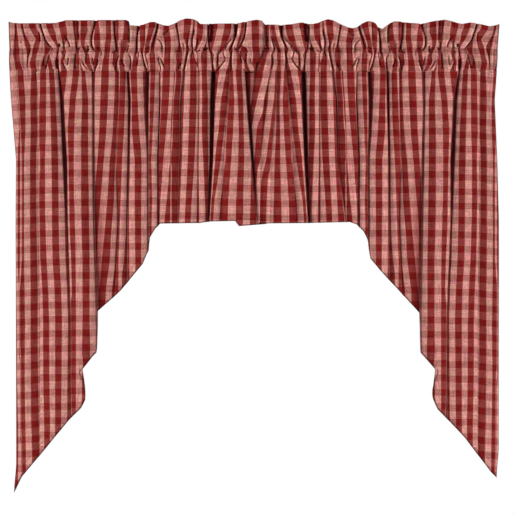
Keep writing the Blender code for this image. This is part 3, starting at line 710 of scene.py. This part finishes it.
def panel_cloth(name, side, folds, stripes, hem, material):
    """A panel: the drape's lines joined from the seam down to the cut edge, one column to a thread.

    A point lies as far out and back as its line at that drop. To that are added the cloth's unevenness,
    gathers that fade as exp(-drop below the seam / GATHER_FADE), and the draw-in at the seam, which fades
    as exp(-(drop below the seam / GATHER_FADE)^2). Near the hem each thread swings sideways to its end.
    """
    drops = np.arange(PANEL_TOP, hem[0][2] + PAST_HEM, LINE_STEP)
    lips, bows, set_backs, furrows, dark, depths = (
        np.array([measures(row[column], FOLD_DROPS, drops) for row in folds]) for column in range(1, 7))
    lips, bows, set_backs, furrows, depths = (rows * MM for rows in (lips, bows, set_backs, furrows, depths))
    levels = FACE_Y + set_backs
    out, back, place = cloth_line(lips, furrows, depths, bows, levels, PANEL_STEP)
    stripe = panel_stripes(folds, stripes, out, place, drops)
    shift = row_shifts(folds, place, drops) + RIGHT_LOWER * (side == RIGHT)
    shades = painted_furrow_shades(folds, lips, levels, dark, back, place, drops)

    hem_out, hem_end, hem_drop = np.array(hem[::-1], dtype=float).T
    columns = np.arange(out.shape[1])
    end_drop = np.full(len(columns), float(FOLD_DROPS[3]))
    for _ in range(THREAD_ROUNDS):
        threads = read_table(out, drops, end_drop, columns)
        end_drop = np.interp(threads / MM, hem_out, hem_drop)
    swing = np.interp(threads / MM, hem_out, hem_end) * MM - threads

    share = np.linspace(0, 1, PANEL_ROWS + 1)[:, None]
    share = (1 - ROW_CROWDING) * share + ROW_CROWDING * share ** 2
    drop = PANEL_TOP + (end_drop - PANEL_TOP) * share
    column = np.broadcast_to(columns, drop.shape)
    x, y, u, shade, lowering = (read_table(table, drops, drop, column)
                                for table in (out, back, stripe, shades, shift))
    swung = swing * ease(1 - (end_drop - drop) / HEM_SWING)
    x = x + swung
    u = u - swung / MM / SQUARE / REPEAT
    v = (drop - FIRST_ROW - lowering) / CHECK_ROW

    below = drop - POCKET_DROP
    faded = np.maximum(below, 0) / GATHER_FADE
    y = y + unevenness(x / MM, drop) * ease(below / UNEVEN_BELOW) * UNEVEN_PANEL
    y = y - GATHER_DEPTH * gathers(u * GATHERS_PER_REPEAT) * np.exp(-faded) * (1 - shade)
    y = y + (SEAM_Y - FACE_Y) * np.exp(-faded ** 2) * (1 - shade)
    y = y + SEAM_TURN * ease(0.5 - below / TURN_HEIGHT)
    points = np.stack((side * x, y, -drop * MM), axis=2)
    slant = np.abs(np.gradient(end_drop)) / np.maximum(np.abs(np.gradient(threads / MM)), 0.01)
    above_hem = (end_drop - drop) * MM / np.sqrt(1 + np.minimum(slant, STEEPEST_HEM) ** 2)
    edge = np.minimum(above_hem, np.abs(x - x[:, :1]) + SIDE_INSET)
    sheet = make_sheet(name, points, np.stack((u, v), axis=2), edge, shade, material)
    seam = np.argsort(-x[0])
    return sheet, sheet_area(points), (across(x[0])[seam], shift[0][seam])


# ---------------------------------------------------------------- headings

HEADING_COLUMNS = 492
LAYER_GAP = 2.4 * MM            # between the ruffle's two layers
TOP_TURN = 1.2                  # height of the cloth's turn at the top edge, in millimetres
POCKET_TURN = 0.6               # how far the front goes on below the lower seam, in millimetres
SIDE_SETBACK = 4 * MM           # how far back the left heading's end is set, behind the right one's edge
SIDE_START = 262                # square across where it starts at the top, and how much sooner at the foot
SIDE_SOONER = 7.5
SIDE_WIDTH = 2.5

OPEN_ABOVE = 27                 # a crease that starts above this square down runs off the top edge
OPEN_BELOW = 72                 # one that ends below this square down runs off the lower seam
TAPER = 0.3                     # share of a crease over which an end inside the cloth tapers
TAPER_END = 0.25                # how far along that taper the end itself is
SHOULDER = 0.2                  # depth of a crease's shoulders, as a share of the crease's
SHOULDER_SPREAD = 2.2           # how far they reach past the trough, in squares
RIM = 0.14                      # height of the rims, as a share of the depth
RIM_PLACE = 0.8                 # how far they are from the trough, and how wide, in squares
RIM_PAINTED_LIGHT = 0.9                 # how much highlight is painted on a rim that is higher than RIM_START, in millimetres
RIM_START = 0.35
SHADE_DEPTHS = (1, 7)           # depths at which a crease's painted shade starts and is full, in millimetres

# The heading's shape, in millimetres in front of the mount's plane.
UPPER_SEAM = 2.8
RUFFLE_LEAN = 3.4               # how much further the ruffle's top is
LOWER_SEAM = 7.5                # how much further the lower seam is
BULGE = 8.5                     # how much further the middle of the pocket is
SEAM_DIP = 1.2                  # depth and half height of the upper seam's line
SEAM_SPREAD = 1.5
BACK_BULGE = 10                 # how far the pocket's back bulges the other way
# How far back the front may lie: in the ruffle, at the pocket's seams and before the rod.
RUFFLE_LIMIT = 12
SEAM_LIMIT = 3
ROD_LIMIT = -7.4
LIMIT_BULGE = 12.5              # how steeply the limit bulges from the seams to the rod

GATHERS_ABOVE = 2.1             # gathers along the upper seam, on a repeat of the check
RUFFLE_FADE = 13                # height over which they fade up the ruffle, in millimetres
FINER_WAVES = 1.7               # how much finer the heading's unevenness is across


def crease_depths(creases, x, y):
    """How far the creases push each place of a heading back: narrow troughs, wide shoulders and raised rims.

    A trough is its depth times exp(-(distance / half width)^1.5), and tapers off towards an end that lies
    inside the cloth. A rim rises along both its sides. Where troughs meet, the deeper counts. Also returns
    the shade painted on each place, from the crease's depth, and below 0 a highlight painted on a high rim.
    """
    troughs, shoulders, rims, shade = (np.zeros(x.shape) for _ in range(4))
    for width, depth, points in creases:
        half = width / SQUARE / 2
        points = np.array(points, dtype=float)
        lengths = np.hypot(*np.diff(points, axis=0).T)
        run = 0.0
        for start, (step_x, step_y), length in zip(points, np.diff(points, axis=0), lengths):
            along = ((x - start[0]) * step_x + (y - start[1]) * step_y) / length ** 2
            along = np.clip(along, 0, 1)
            gap = np.hypot(x - start[0] - along * step_x, y - start[1] - along * step_y)
            share = (run + along * length) / lengths.sum()
            deep = np.full(x.shape, float(depth))
            if points[0][1] > OPEN_ABOVE:
                deep = deep * ease(share / TAPER + TAPER_END)
            if points[-1][1] < OPEN_BELOW:
                deep = deep * ease((1 - share) / TAPER + TAPER_END)
            troughs = np.maximum(troughs, deep * np.exp(-(gap / half) ** 1.5))
            shoulder = np.exp(-(gap / (half + SHOULDER_SPREAD)) ** 2)
            shoulders = np.maximum(shoulders, SHOULDER * deep * shoulder)
            rims = np.maximum(rims, RIM * deep * np.exp(-((gap - half - RIM_PLACE) / RIM_PLACE) ** 2))
            dark = ease((deep - SHADE_DEPTHS[0]) / (SHADE_DEPTHS[1] - SHADE_DEPTHS[0]))
            shade = np.maximum(shade, dark * ease(1.15 - gap / half))
            run += length
    # painted highlight on high rims, taken off the painted shade
    lit = RIM_PAINTED_LIGHT * np.clip(rims - RIM_START, 0, 1) * (1 - shade)
    return (troughs + shoulders - rims * (1 - shade)) * MM, shade - lit


def heading_rows():
    """Each row's drop, and its layer: -1 on the back, 1 on the front, and in between where it turns."""
    back_pocket = np.linspace(POCKET_DROP, RUFFLE_DROP, 11)[:-1]
    back_ruffle = np.linspace(RUFFLE_DROP, TOP_TURN, 9)
    turn = np.linspace(-1, 1, 7)[1:-1]
    front_ruffle = np.linspace(TOP_TURN, RUFFLE_DROP, 36)
    front_pocket = np.linspace(RUFFLE_DROP, POCKET_DROP + POCKET_TURN, 31)[1:]
    over_top = TOP_TURN - TOP_TURN * np.sqrt(1 - turn ** 2)
    drop = np.concatenate((back_pocket, back_ruffle, over_top, front_ruffle, front_pocket))
    layer = np.concatenate((np.full(len(back_pocket) + len(back_ruffle), -1.0), turn,
                            np.ones(len(front_ruffle) + len(front_pocket))))
    return drop[:, None], layer[:, None]


def heading_check(x, level, layer, stripes, seam_shifts):
    """The check's place across and down a heading, which meets the panel's rows at the lower seam."""
    numbers = np.repeat(np.arange(len(stripes)), 2) + np.tile((0, 0.5), len(stripes))
    across_check = np.zeros(x.shape)
    for row, height in enumerate(level[:, 0]):
        edges = [np.interp(height, HEADING_LEVELS, edge) for stripe in stripes for edge in stripe]
        across_check[row] = read_stripes(x[row], edges, numbers)
    first, last = HEADING_ROWS[0], HEADING_ROWS[-1]
    near_panel = np.clip((level - HEADING_ROWS[1]) / (last - HEADING_ROWS[1]), 0, 1)
    lowering = np.interp(x, *seam_shifts) / SQUARE * near_panel
    down_check = np.interp(level - lowering, HEADING_ROWS, np.arange(len(HEADING_ROWS)) + 0.25)
    down_check = down_check + np.minimum(level - first, 0) / PITCH_ABOVE
    down_check = down_check + np.maximum(level - lowering - last, 0) / PITCH_BELOW
    return across_check, np.where(layer > 0, down_check, 0.9 - down_check)


def heading_cloth(name, side, top, sides, stripes, creases, seam_shifts, material):
    """A heading: cloth that runs up the back from the lower seam, over the top and down the front.

    Its front is the pocket's round bulge, as sin(pi * share of the pocket's height)^0.8, and the ruffle's
    slight lean, pushed in by the creases and by the fine gathers along both seams. The back of the ruffle
    lies behind the front, and the back of the pocket bulges the other way, so that a rod fits between.
    """
    drop, layer = heading_rows()
    outer, inner = (np.interp(drop, (0, RUFFLE_DROP, POCKET_DROP), row) for row in sides)
    x = outer + (inner - outer) * np.linspace(0, 1, HEADING_COLUMNS)
    level = down(drop)
    u, v = heading_check(x, level, layer, stripes, seam_shifts)

    inside = np.clip((drop - RUFFLE_DROP) / (POCKET_DROP - RUFFLE_DROP), 0, 1)
    bulge = np.sin(math.pi * inside) ** 0.8
    in_ruffle = np.clip(1 - drop / RUFFLE_DROP, 0, 1)
    troughs, shade = crease_depths(creases, x, np.broadcast_to(level, x.shape))
    near_seam = np.exp(-(RUFFLE_DROP - drop) / RUFFLE_FADE)
    near_seam = np.where(drop < RUFFLE_DROP, near_seam, 1 - 0.45 * ease(inside))
    fine = gathers(u * GATHERS_ABOVE + 0.3) * (1 - ease(inside))
    fine = (fine + gathers(u * GATHERS_PER_REPEAT) * ease(inside)) * (0.9 + 0.5 * bulge) * near_seam
    swell = unevenness(x * SQUARE * FINER_WAVES, drop * 2) * 0.9
    seam = SEAM_DIP * np.exp(-((drop - RUFFLE_DROP) / SEAM_SPREAD) ** 2)
    forward = UPPER_SEAM + RUFFLE_LEAN * in_ruffle ** 0.8 + LOWER_SEAM * ease(inside) + BULGE * bulge
    front = (seam - forward - fine) * MM + troughs + swell
    rod_side = np.maximum(SEAM_LIMIT - LIMIT_BULGE * bulge, ROD_LIMIT)
    rod_side = np.where(drop > RUFFLE_DROP, rod_side, RUFFLE_LIMIT)
    front = np.minimum(front, rod_side * MM)
    behind = front + LAYER_GAP
    pocket_back = (-1 + BACK_BULGE * bulge + 0.6 * fine) * MM + 0.3 * troughs + 0.5 * swell
    behind = behind * (1 - bulge) + pocket_back * bulge
    y = np.where(layer > 0, front, behind)
    y = np.where(np.abs(layer) < 1, front + LAYER_GAP * (1 - layer) / 2, y)
    y = y + (side == LEFT) * SIDE_SETBACK * ease((x - SIDE_START + SIDE_SOONER * inside) / SIDE_WIDTH)
    y = y + (layer > 0) * SEAM_TURN * ease((drop - POCKET_DROP) / TURN_HEIGHT + 0.5)

    top_across, top_down = np.array(top).T
    rise = (np.interp(x, top_across, top_down) - TOPLINE) * SQUARE
    z = -(drop + rise * in_ruffle)
    points = np.stack((side * (MIDLINE - x) * SQUARE * MM, y, z * MM), axis=2)
    check = np.stack((u, v), axis=2)
    edge = np.minimum(np.abs(x - x[:, :1]), np.abs(x - x[:, -1:])) * SQUARE * MM
    # only the front layer gets the creases' painted shade and rim highlights
    sheet = make_sheet(name, points, check, edge, shade * (layer > 0), material)
    return sheet, sheet_area(points)


# ---------------------------------------------------------------- node helpers

def new_group(name, inputs, outputs):
    group = bpy.data.node_groups.new(name, "ShaderNodeTree")
    for socket, kind, value in inputs:
        made = group.interface.new_socket(socket, in_out="INPUT", socket_type=kind)
        if value is not None:
            made.default_value = value
    for socket, kind in outputs:
        group.interface.new_socket(socket, in_out="OUTPUT", socket_type=kind)
    return group, group.nodes.new("NodeGroupInput").outputs, group.nodes.new("NodeGroupOutput").inputs


def feed(tree, socket, value):
    """Sets a socket to a number or a colour, or links another socket to it."""
    if isinstance(value, (int, float)):
        socket.default_value = value
    elif isinstance(value, tuple):
        socket.default_value = (*value, 1)
    elif value is not None:
        tree.links.new(value, socket)


def maths(tree, operation, *values, clamp=False):
    node = tree.nodes.new("ShaderNodeMath")
    node.operation = operation
    node.use_clamp = clamp
    for socket, value in zip(node.inputs, values):
        feed(tree, socket, value)
    return node.outputs[0]


def mix_colour(tree, share, first, second, blend="MIX"):
    node = tree.nodes.new("ShaderNodeMix")
    node.data_type = "RGBA"
    node.blend_type = blend
    for socket, value in zip((node.inputs[0], node.inputs[6], node.inputs[7]), (share, first, second)):
        feed(tree, socket, value)
    return node.outputs[2]


def separate(tree, vector):
    node = tree.nodes.new("ShaderNodeSeparateXYZ")
    tree.links.new(vector, node.inputs[0])
    return node.outputs


def stretched_noise(tree, vector, scale, detail):
    """Noise drawn out along one way of the cloth; scale is repeats across and down."""
    mapping = tree.nodes.new("ShaderNodeMapping")
    mapping.inputs["Scale"].default_value = (*scale, 1)
    tree.links.new(vector, mapping.inputs["Vector"])
    noise = tree.nodes.new("ShaderNodeTexNoise")
    noise.inputs["Scale"].default_value = 1
    noise.inputs["Detail"].default_value = detail
    tree.links.new(mapping.outputs[0], noise.inputs["Vector"])
    return noise.outputs["Fac"]


def bump(tree, height, strength, distance, normal=None):
    node = tree.nodes.new("ShaderNodeBump")
    node.inputs["Strength"].default_value = strength
    node.inputs["Distance"].default_value = distance
    tree.links.new(height, node.inputs["Height"])
    feed(tree, node.inputs["Normal"], normal)
    return node.outputs[0]


# ---------------------------------------------------------------- cotton

BAND_EDGE = 4.5                 # how sharp a stripe's edge is
WARP_MIDDLE = 1.1               # how far the wave of stripes is raised, which widens the red ones
WEFT_MIDDLE = 0.1
FRAY = 0.10                     # how far a stripe's edge wanders, in repeats
WARP_YARNS = 30                 # yarns in a repeat
WEFT_YARNS = 32
PATCH_CONTRAST = 3.4            # of the browner and paler patches
PATCH_START = -1.2
SLUB_WIDE = 0.9                 # how much the broad patches among the slubs count
SLUB_MIDDLE = 1.45              # the slubs' middle value
WARP_SLUBS = (15, 0.9)          # scales of the slubs on each yarn, and of the broad patches
WEFT_SLUBS = (0.9, 17)
WIDE_SLUBS = (9, 8)
SLUB_RELIEF = 1.8

STITCH_INSET = 1.6              # stitches to the end of the turned cloth, in millimetres
STITCH_PITCH = 3 * MM
# Painted shade along the hem's fold and in its stitch groove.
GROOVE_PAINTED_SHADE = 0.6
HEM_PAINTED_SHADE = (0.055, 0.004, 0.004)
HEM_PAINTED_SHADING = 0.75
# Painted highlight on crests, and painted shade in furrows: first a red tint, then dark.
CREST_PAINTED_HIGHLIGHT = (1.3, 1.55, 1.55)
FURROW_PAINTED_TINT = (0.62, 0.17, 0.19)
PAINTED_TINT_RISE = 2.6                 # how soon a furrow takes on the red tint of its painted shade
FURROW_PAINTED_SHADE = (0.048, 0.0008, 0.0025)
FURROW_PAINTED_SHADING = 0.93


def gingham_group():
    """Yarn-dyed check: red and pink warp stripes under red and pink weft stripes.

    The colour at a point is the warp yarn's with some of the weft yarn's, more of it on a pink stripe than
    on a red one, and slubs lighten and darken both. The height is a plain weave: each yarn rises where it
    passes over.
    """
    group, given, result = new_group(
        "gingham",
        (("Place", "NodeSocketVector", None), ("Red", "NodeSocketColor", (*RED, 1)),
         ("Brick", "NodeSocketColor", (*BRICK, 1)), ("Pink", "NodeSocketColor", (*PINK, 1)),
         ("Pale", "NodeSocketColor", (*BEIGE, 1)), ("Weft on red", "NodeSocketFloat", WEFT_ON_RED),
         ("Weft on pink", "NodeSocketFloat", WEFT_ON_PINK), ("Slubs", "NodeSocketFloat", 0.5)),
        (("Color", "NodeSocketColor"), ("Height", "NodeSocketFloat")))
    place = given["Place"]
    u, v, _ = separate(group, place)
    bands = []
    for along, scale, middle in ((u, (4, 40), WARP_MIDDLE), (v, (40, 4), WEFT_MIDDLE)):
        fray = maths(group, "MULTIPLY_ADD", stretched_noise(group, place, scale, 2), FRAY, -FRAY / 2)
        wave = maths(group, "SINE", maths(group, "MULTIPLY", maths(group, "ADD", along, fray), 2 * math.pi))
        bands.append(maths(group, "MULTIPLY_ADD", wave, BAND_EDGE, middle, clamp=True))
    warp, weft = bands
    paler, browner = (
        maths(group, "MULTIPLY_ADD", stretched_noise(group, place, scale, 5), PATCH_CONTRAST, PATCH_START,
              clamp=True)
        for scale in ((2.6, 2.2), (2.1, 3.1)))
    red = mix_colour(group, browner, given["Red"], given["Brick"])
    pink = mix_colour(group, paler, given["Pink"], given["Pale"])
    less_on_red = maths(group, "SUBTRACT", given["Weft on red"], given["Weft on pink"])
    weft_share = maths(group, "MULTIPLY_ADD", warp, less_on_red, given["Weft on pink"])
    colour = mix_colour(group, weft_share, mix_colour(group, warp, pink, red),
                        mix_colour(group, weft, pink, red))
    slubs = maths(group, "ADD", stretched_noise(group, place, WARP_SLUBS, 3),
                  stretched_noise(group, place, WEFT_SLUBS, 3))
    wide = maths(group, "MULTIPLY", stretched_noise(group, place, WIDE_SLUBS, 2), SLUB_WIDE)
    slubs = maths(group, "SUBTRACT", maths(group, "ADD", slubs, wide), SLUB_MIDDLE)
    bright = maths(group, "MULTIPLY_ADD", slubs, given["Slubs"], 1.0)
    grey = group.nodes.new("ShaderNodeCombineColor")
    for socket in grey.inputs:
        group.links.new(bright, socket)
    group.links.new(mix_colour(group, 1.0, colour, grey.outputs[0], "MULTIPLY"), result["Color"])
    over = maths(group, "MULTIPLY", *(
        maths(group, "SINE", maths(group, "MULTIPLY", along, 2 * yarns * math.pi))
        for along, yarns in ((u, WARP_YARNS), (v, WEFT_YARNS))))
    group.links.new(maths(group, "MULTIPLY_ADD", slubs, SLUB_RELIEF, over), result["Height"])
    return group


def sewn_hem_group():
    """A turned hem: doubled cloth between the edge and a line of stitches.

    The height falls by a step where the turned cloth ends. The stitches are dimples in a groove, and the
    Shade output is painted shade that darkens the edge's fold and the groove.
    """
    group, given, result = new_group(
        "sewn_hem",
        (("Distance", "NodeSocketFloat", 1.0), ("Width", "NodeSocketFloat", TURNED_HEM / MM),
         ("Position", "NodeSocketVector", None)),
        (("Shade", "NodeSocketFloat"), ("Height", "NodeSocketFloat")))
    distance = maths(group, "MULTIPLY", given["Distance"], 1 / MM)
    past = maths(group, "SUBTRACT", distance, given["Width"])
    step = maths(group, "MULTIPLY_ADD", past, -0.5, 0.5, clamp=True)
    gap = maths(group, "ABSOLUTE", maths(group, "ADD", past, STITCH_INSET))
    groove = maths(group, "MULTIPLY_ADD", gap, -0.9, 1.0, clamp=True)
    x, _, z = separate(group, given["Position"])
    run = maths(group, "ADD", z, maths(group, "MULTIPLY", x, 0.8))
    wave = maths(group, "SINE", maths(group, "MULTIPLY", run, 2 * math.pi / STITCH_PITCH))
    stitch = maths(group, "MULTIPLY_ADD", wave, 0.5, 0.5)
    groove = maths(group, "MULTIPLY", groove, maths(group, "MULTIPLY_ADD", stitch, 0.5, 0.5))
    fold = maths(group, "MULTIPLY_ADD", distance, -0.45, 1.45, clamp=True)
    # painted shade: darker in the groove and on the edge's fold
    shade = maths(group, "MAXIMUM", maths(group, "MULTIPLY", groove, GROOVE_PAINTED_SHADE), fold)
    group.links.new(shade, result["Shade"])
    group.links.new(maths(group, "SUBTRACT", step, groove), result["Height"])
    return group


def cotton(name, gingham, sewn_hem, roughness, slubs):
    material = bpy.data.materials.new(name)
    material.use_nodes = True
    tree = material.node_tree
    shader = tree.nodes["Principled BSDF"]
    place = tree.nodes.new("ShaderNodeUVMap")
    place.uv_map = "check"
    cloth = tree.nodes.new("ShaderNodeGroup")
    cloth.node_tree = gingham
    cloth.inputs["Slubs"].default_value = slubs
    tree.links.new(place.outputs[0], cloth.inputs["Place"])
    distance = tree.nodes.new("ShaderNodeAttribute")
    distance.attribute_name = "hem_distance"
    position = tree.nodes.new("ShaderNodeTexCoord")
    hem = tree.nodes.new("ShaderNodeGroup")
    hem.node_tree = sewn_hem
    tree.links.new(distance.outputs["Fac"], hem.inputs["Distance"])
    tree.links.new(position.outputs["Object"], hem.inputs["Position"])
    furrow = tree.nodes.new("ShaderNodeAttribute")
    furrow.attribute_name = "furrow"
    colour = cloth.outputs["Color"]
    # Paints shade and highlight into the colour: shade on the hem's fold and groove, a highlight where the
    # furrow attribute is below 0, then the furrows' red tint and dark shade.
    for mask, strength, tint, blend in (
            (hem.outputs["Shade"], HEM_PAINTED_SHADING, HEM_PAINTED_SHADE, "MIX"),
            (furrow.outputs["Fac"], -1.0, CREST_PAINTED_HIGHLIGHT, "MULTIPLY"),
            (furrow.outputs["Fac"], PAINTED_TINT_RISE, FURROW_PAINTED_TINT, "MULTIPLY"),
            (furrow.outputs["Fac"], FURROW_PAINTED_SHADING, FURROW_PAINTED_SHADE, "MIX")):
        colour = mix_colour(tree, maths(tree, "MULTIPLY", mask, strength, clamp=True), colour, tint, blend)
    tree.links.new(colour, shader.inputs["Base Color"])
    weave = bump(tree, cloth.outputs["Height"], 0.3, 0.3 * MM)
    sewn = bump(tree, hem.outputs["Height"], 0.7, 0.8 * MM, weave)
    tree.links.new(sewn, shader.inputs["Normal"])
    for socket, value in (("Roughness", roughness), ("Specular IOR Level", 0.1), ("Sheen Weight", 0.04),
                          ("Sheen Roughness", 0.5)):
        shader.inputs[socket].default_value = value
    return material


# ---------------------------------------------------------------- studio

FRAME_SQUARES = 514             # width and height of the picture, in the chart's squares
CAMERA_DISTANCE = 4.0
SENSOR = 36
SOFT_LIGHT = 0.11               # light from all round
KEY_STRENGTH = 1.82             # the light on each swag, from its outer side
FRONT_STRENGTH = 0.7
SUN_SPREAD = math.radians(12)
BACK_LIGHTS = ((-1.5, 40), (1.5, 28))   # how far across each stands, and its power
BACK_DISTANCE = 2.2
FLOOR_LIGHT = 0.8
FLOOR_Z = -1.3
FLOOR_HALF = 3
FLOOR_BEHIND = 1.2


def camera_and_surroundings():
    square = SQUARE * MM
    scene = bpy.context.scene
    camera = bpy.data.objects.new("camera", bpy.data.cameras.new("camera"))
    scene.collection.objects.link(camera)
    camera.location = ((FRAME_SQUARES / 2 - MIDLINE) * square, -CAMERA_DISTANCE,
                       (TOPLINE - FRAME_SQUARES / 2) * square)
    camera.rotation_euler = (math.pi / 2, 0, 0)
    camera.data.sensor_width = SENSOR
    camera.data.lens = SENSOR * (CAMERA_DISTANCE + FACE_Y) / (FRAME_SQUARES * square)
    scene.camera = camera
    scene.view_settings.view_transform = "Standard"
    world = bpy.data.worlds.new("studio")
    world.use_nodes = True
    tree = world.node_tree
    soft, seen = tree.nodes["Background"], tree.nodes.new("ShaderNodeBackground")
    soft.inputs["Color"].default_value = (1.0, 0.99, 0.98, 1)
    soft.inputs["Strength"].default_value = SOFT_LIGHT
    seen.inputs["Color"].default_value = (1, 1, 1, 1)
    choose = tree.nodes.new("ShaderNodeMixShader")
    tree.links.new(tree.nodes.new("ShaderNodeLightPath").outputs["Is Camera Ray"], choose.inputs[0])
    tree.links.new(soft.outputs[0], choose.inputs[1])
    tree.links.new(seen.outputs[0], choose.inputs[2])
    tree.links.new(choose.outputs[0], tree.nodes["World Output"].inputs["Surface"])
    scene.world = world


def new_light(name, kind, strength, lights_only=None):
    """A light in the scene, which shines only on the collection that it names, if any."""
    light = bpy.data.objects.new(name, bpy.data.lights.new(name, kind))
    bpy.context.scene.collection.objects.link(light)
    light.data.energy = strength
    if lights_only:
        light.light_linking.receiver_collection = bpy.data.collections.new(lights_only)
    return light


def studio():
    """A key light for each swag, a front light, two lights behind, and a pale floor with its own light."""
    camera_and_surroundings()
    for name, turn, lift, strength, lights_only in (
            ("key_left", -50, 12, KEY_STRENGTH, "key_left_lights"),
            ("key_right", 50, 12, KEY_STRENGTH, "key_right_lights"),
            ("front", 0, 25, FRONT_STRENGTH, None)):
        light = new_light(name, "SUN", strength, lights_only)
        light.data.angle = SUN_SPREAD
        light.rotation_euler = (math.radians(90 - lift), 0, math.radians(turn))
    for (x, power), name in zip(BACK_LIGHTS, ("back_left", "back_right")):
        light = new_light(name, "AREA", power)
        light.data.size = 1.2
        light.location = (x, BACK_DISTANCE, 0.3)
        light.rotation_euler = (math.radians(76), 0, math.atan2(x, -BACK_DISTANCE))

    paint = bpy.data.materials.new("studio_floor")
    paint.use_nodes = True
    shader = paint.node_tree.nodes["Principled BSDF"]
    shader.inputs["Base Color"].default_value = (0.85, 0.85, 0.84, 1)
    shader.inputs["Roughness"].default_value = 0.9
    mesh = bpy.data.meshes.new("floor")
    corners = ((-FLOOR_HALF, -FLOOR_HALF), (FLOOR_HALF, -FLOOR_HALF),
               (FLOOR_HALF, FLOOR_BEHIND), (-FLOOR_HALF, FLOOR_BEHIND))
    mesh.from_pydata([(x, y, FLOOR_Z) for x, y in corners], [], [(0, 1, 2, 3)])
    mesh.materials.append(paint)
    floor = bpy.data.objects.new("floor", mesh)
    bpy.context.scene.collection.objects.link(floor)
    new_light("over_floor", "SUN", FLOOR_LIGHT, "floor_lights")
    for lit in ("key_left_lights", "key_right_lights", "floor_lights"):
        bpy.data.collections[lit].objects.link(floor)


# ---------------------------------------------------------------- putting it together

studio()
gingham = gingham_group()
sewn_hem = sewn_hem_group()
panel_cotton = cotton("panel_cotton", gingham, sewn_hem, 0.85, 1.15)
heading_cotton = cotton("heading_cotton", gingham, sewn_hem, 0.88, 1.25)

for word, side, folds, stripes, hem, top, sides, heading_stripes, creases in (
        ("left", LEFT, LEFT_FOLDS, LEFT_STRIPES, LEFT_HEM,
         LEFT_TOP, LEFT_SIDES, LEFT_HEADING_STRIPES, LEFT_CREASES),
        ("right", RIGHT, RIGHT_FOLDS, RIGHT_STRIPES, RIGHT_HEM,
         RIGHT_TOP, RIGHT_SIDES, RIGHT_HEADING_STRIPES, RIGHT_CREASES)):
    panel, area, seam_shifts = panel_cloth(word + "_panel_cloth", side, folds, stripes, hem, panel_cotton)
    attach(panel, "root")
    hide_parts(word + "_panel")
    heading, area = heading_cloth(word + "_heading_cloth", side, top, sides, heading_stripes, creases,
                                  seam_shifts, heading_cotton)
    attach(heading, "root")
    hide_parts(word + "_heading")
    for piece in (panel, heading):
        bpy.data.collections["key_" + word + "_lights"].objects.link(piece)
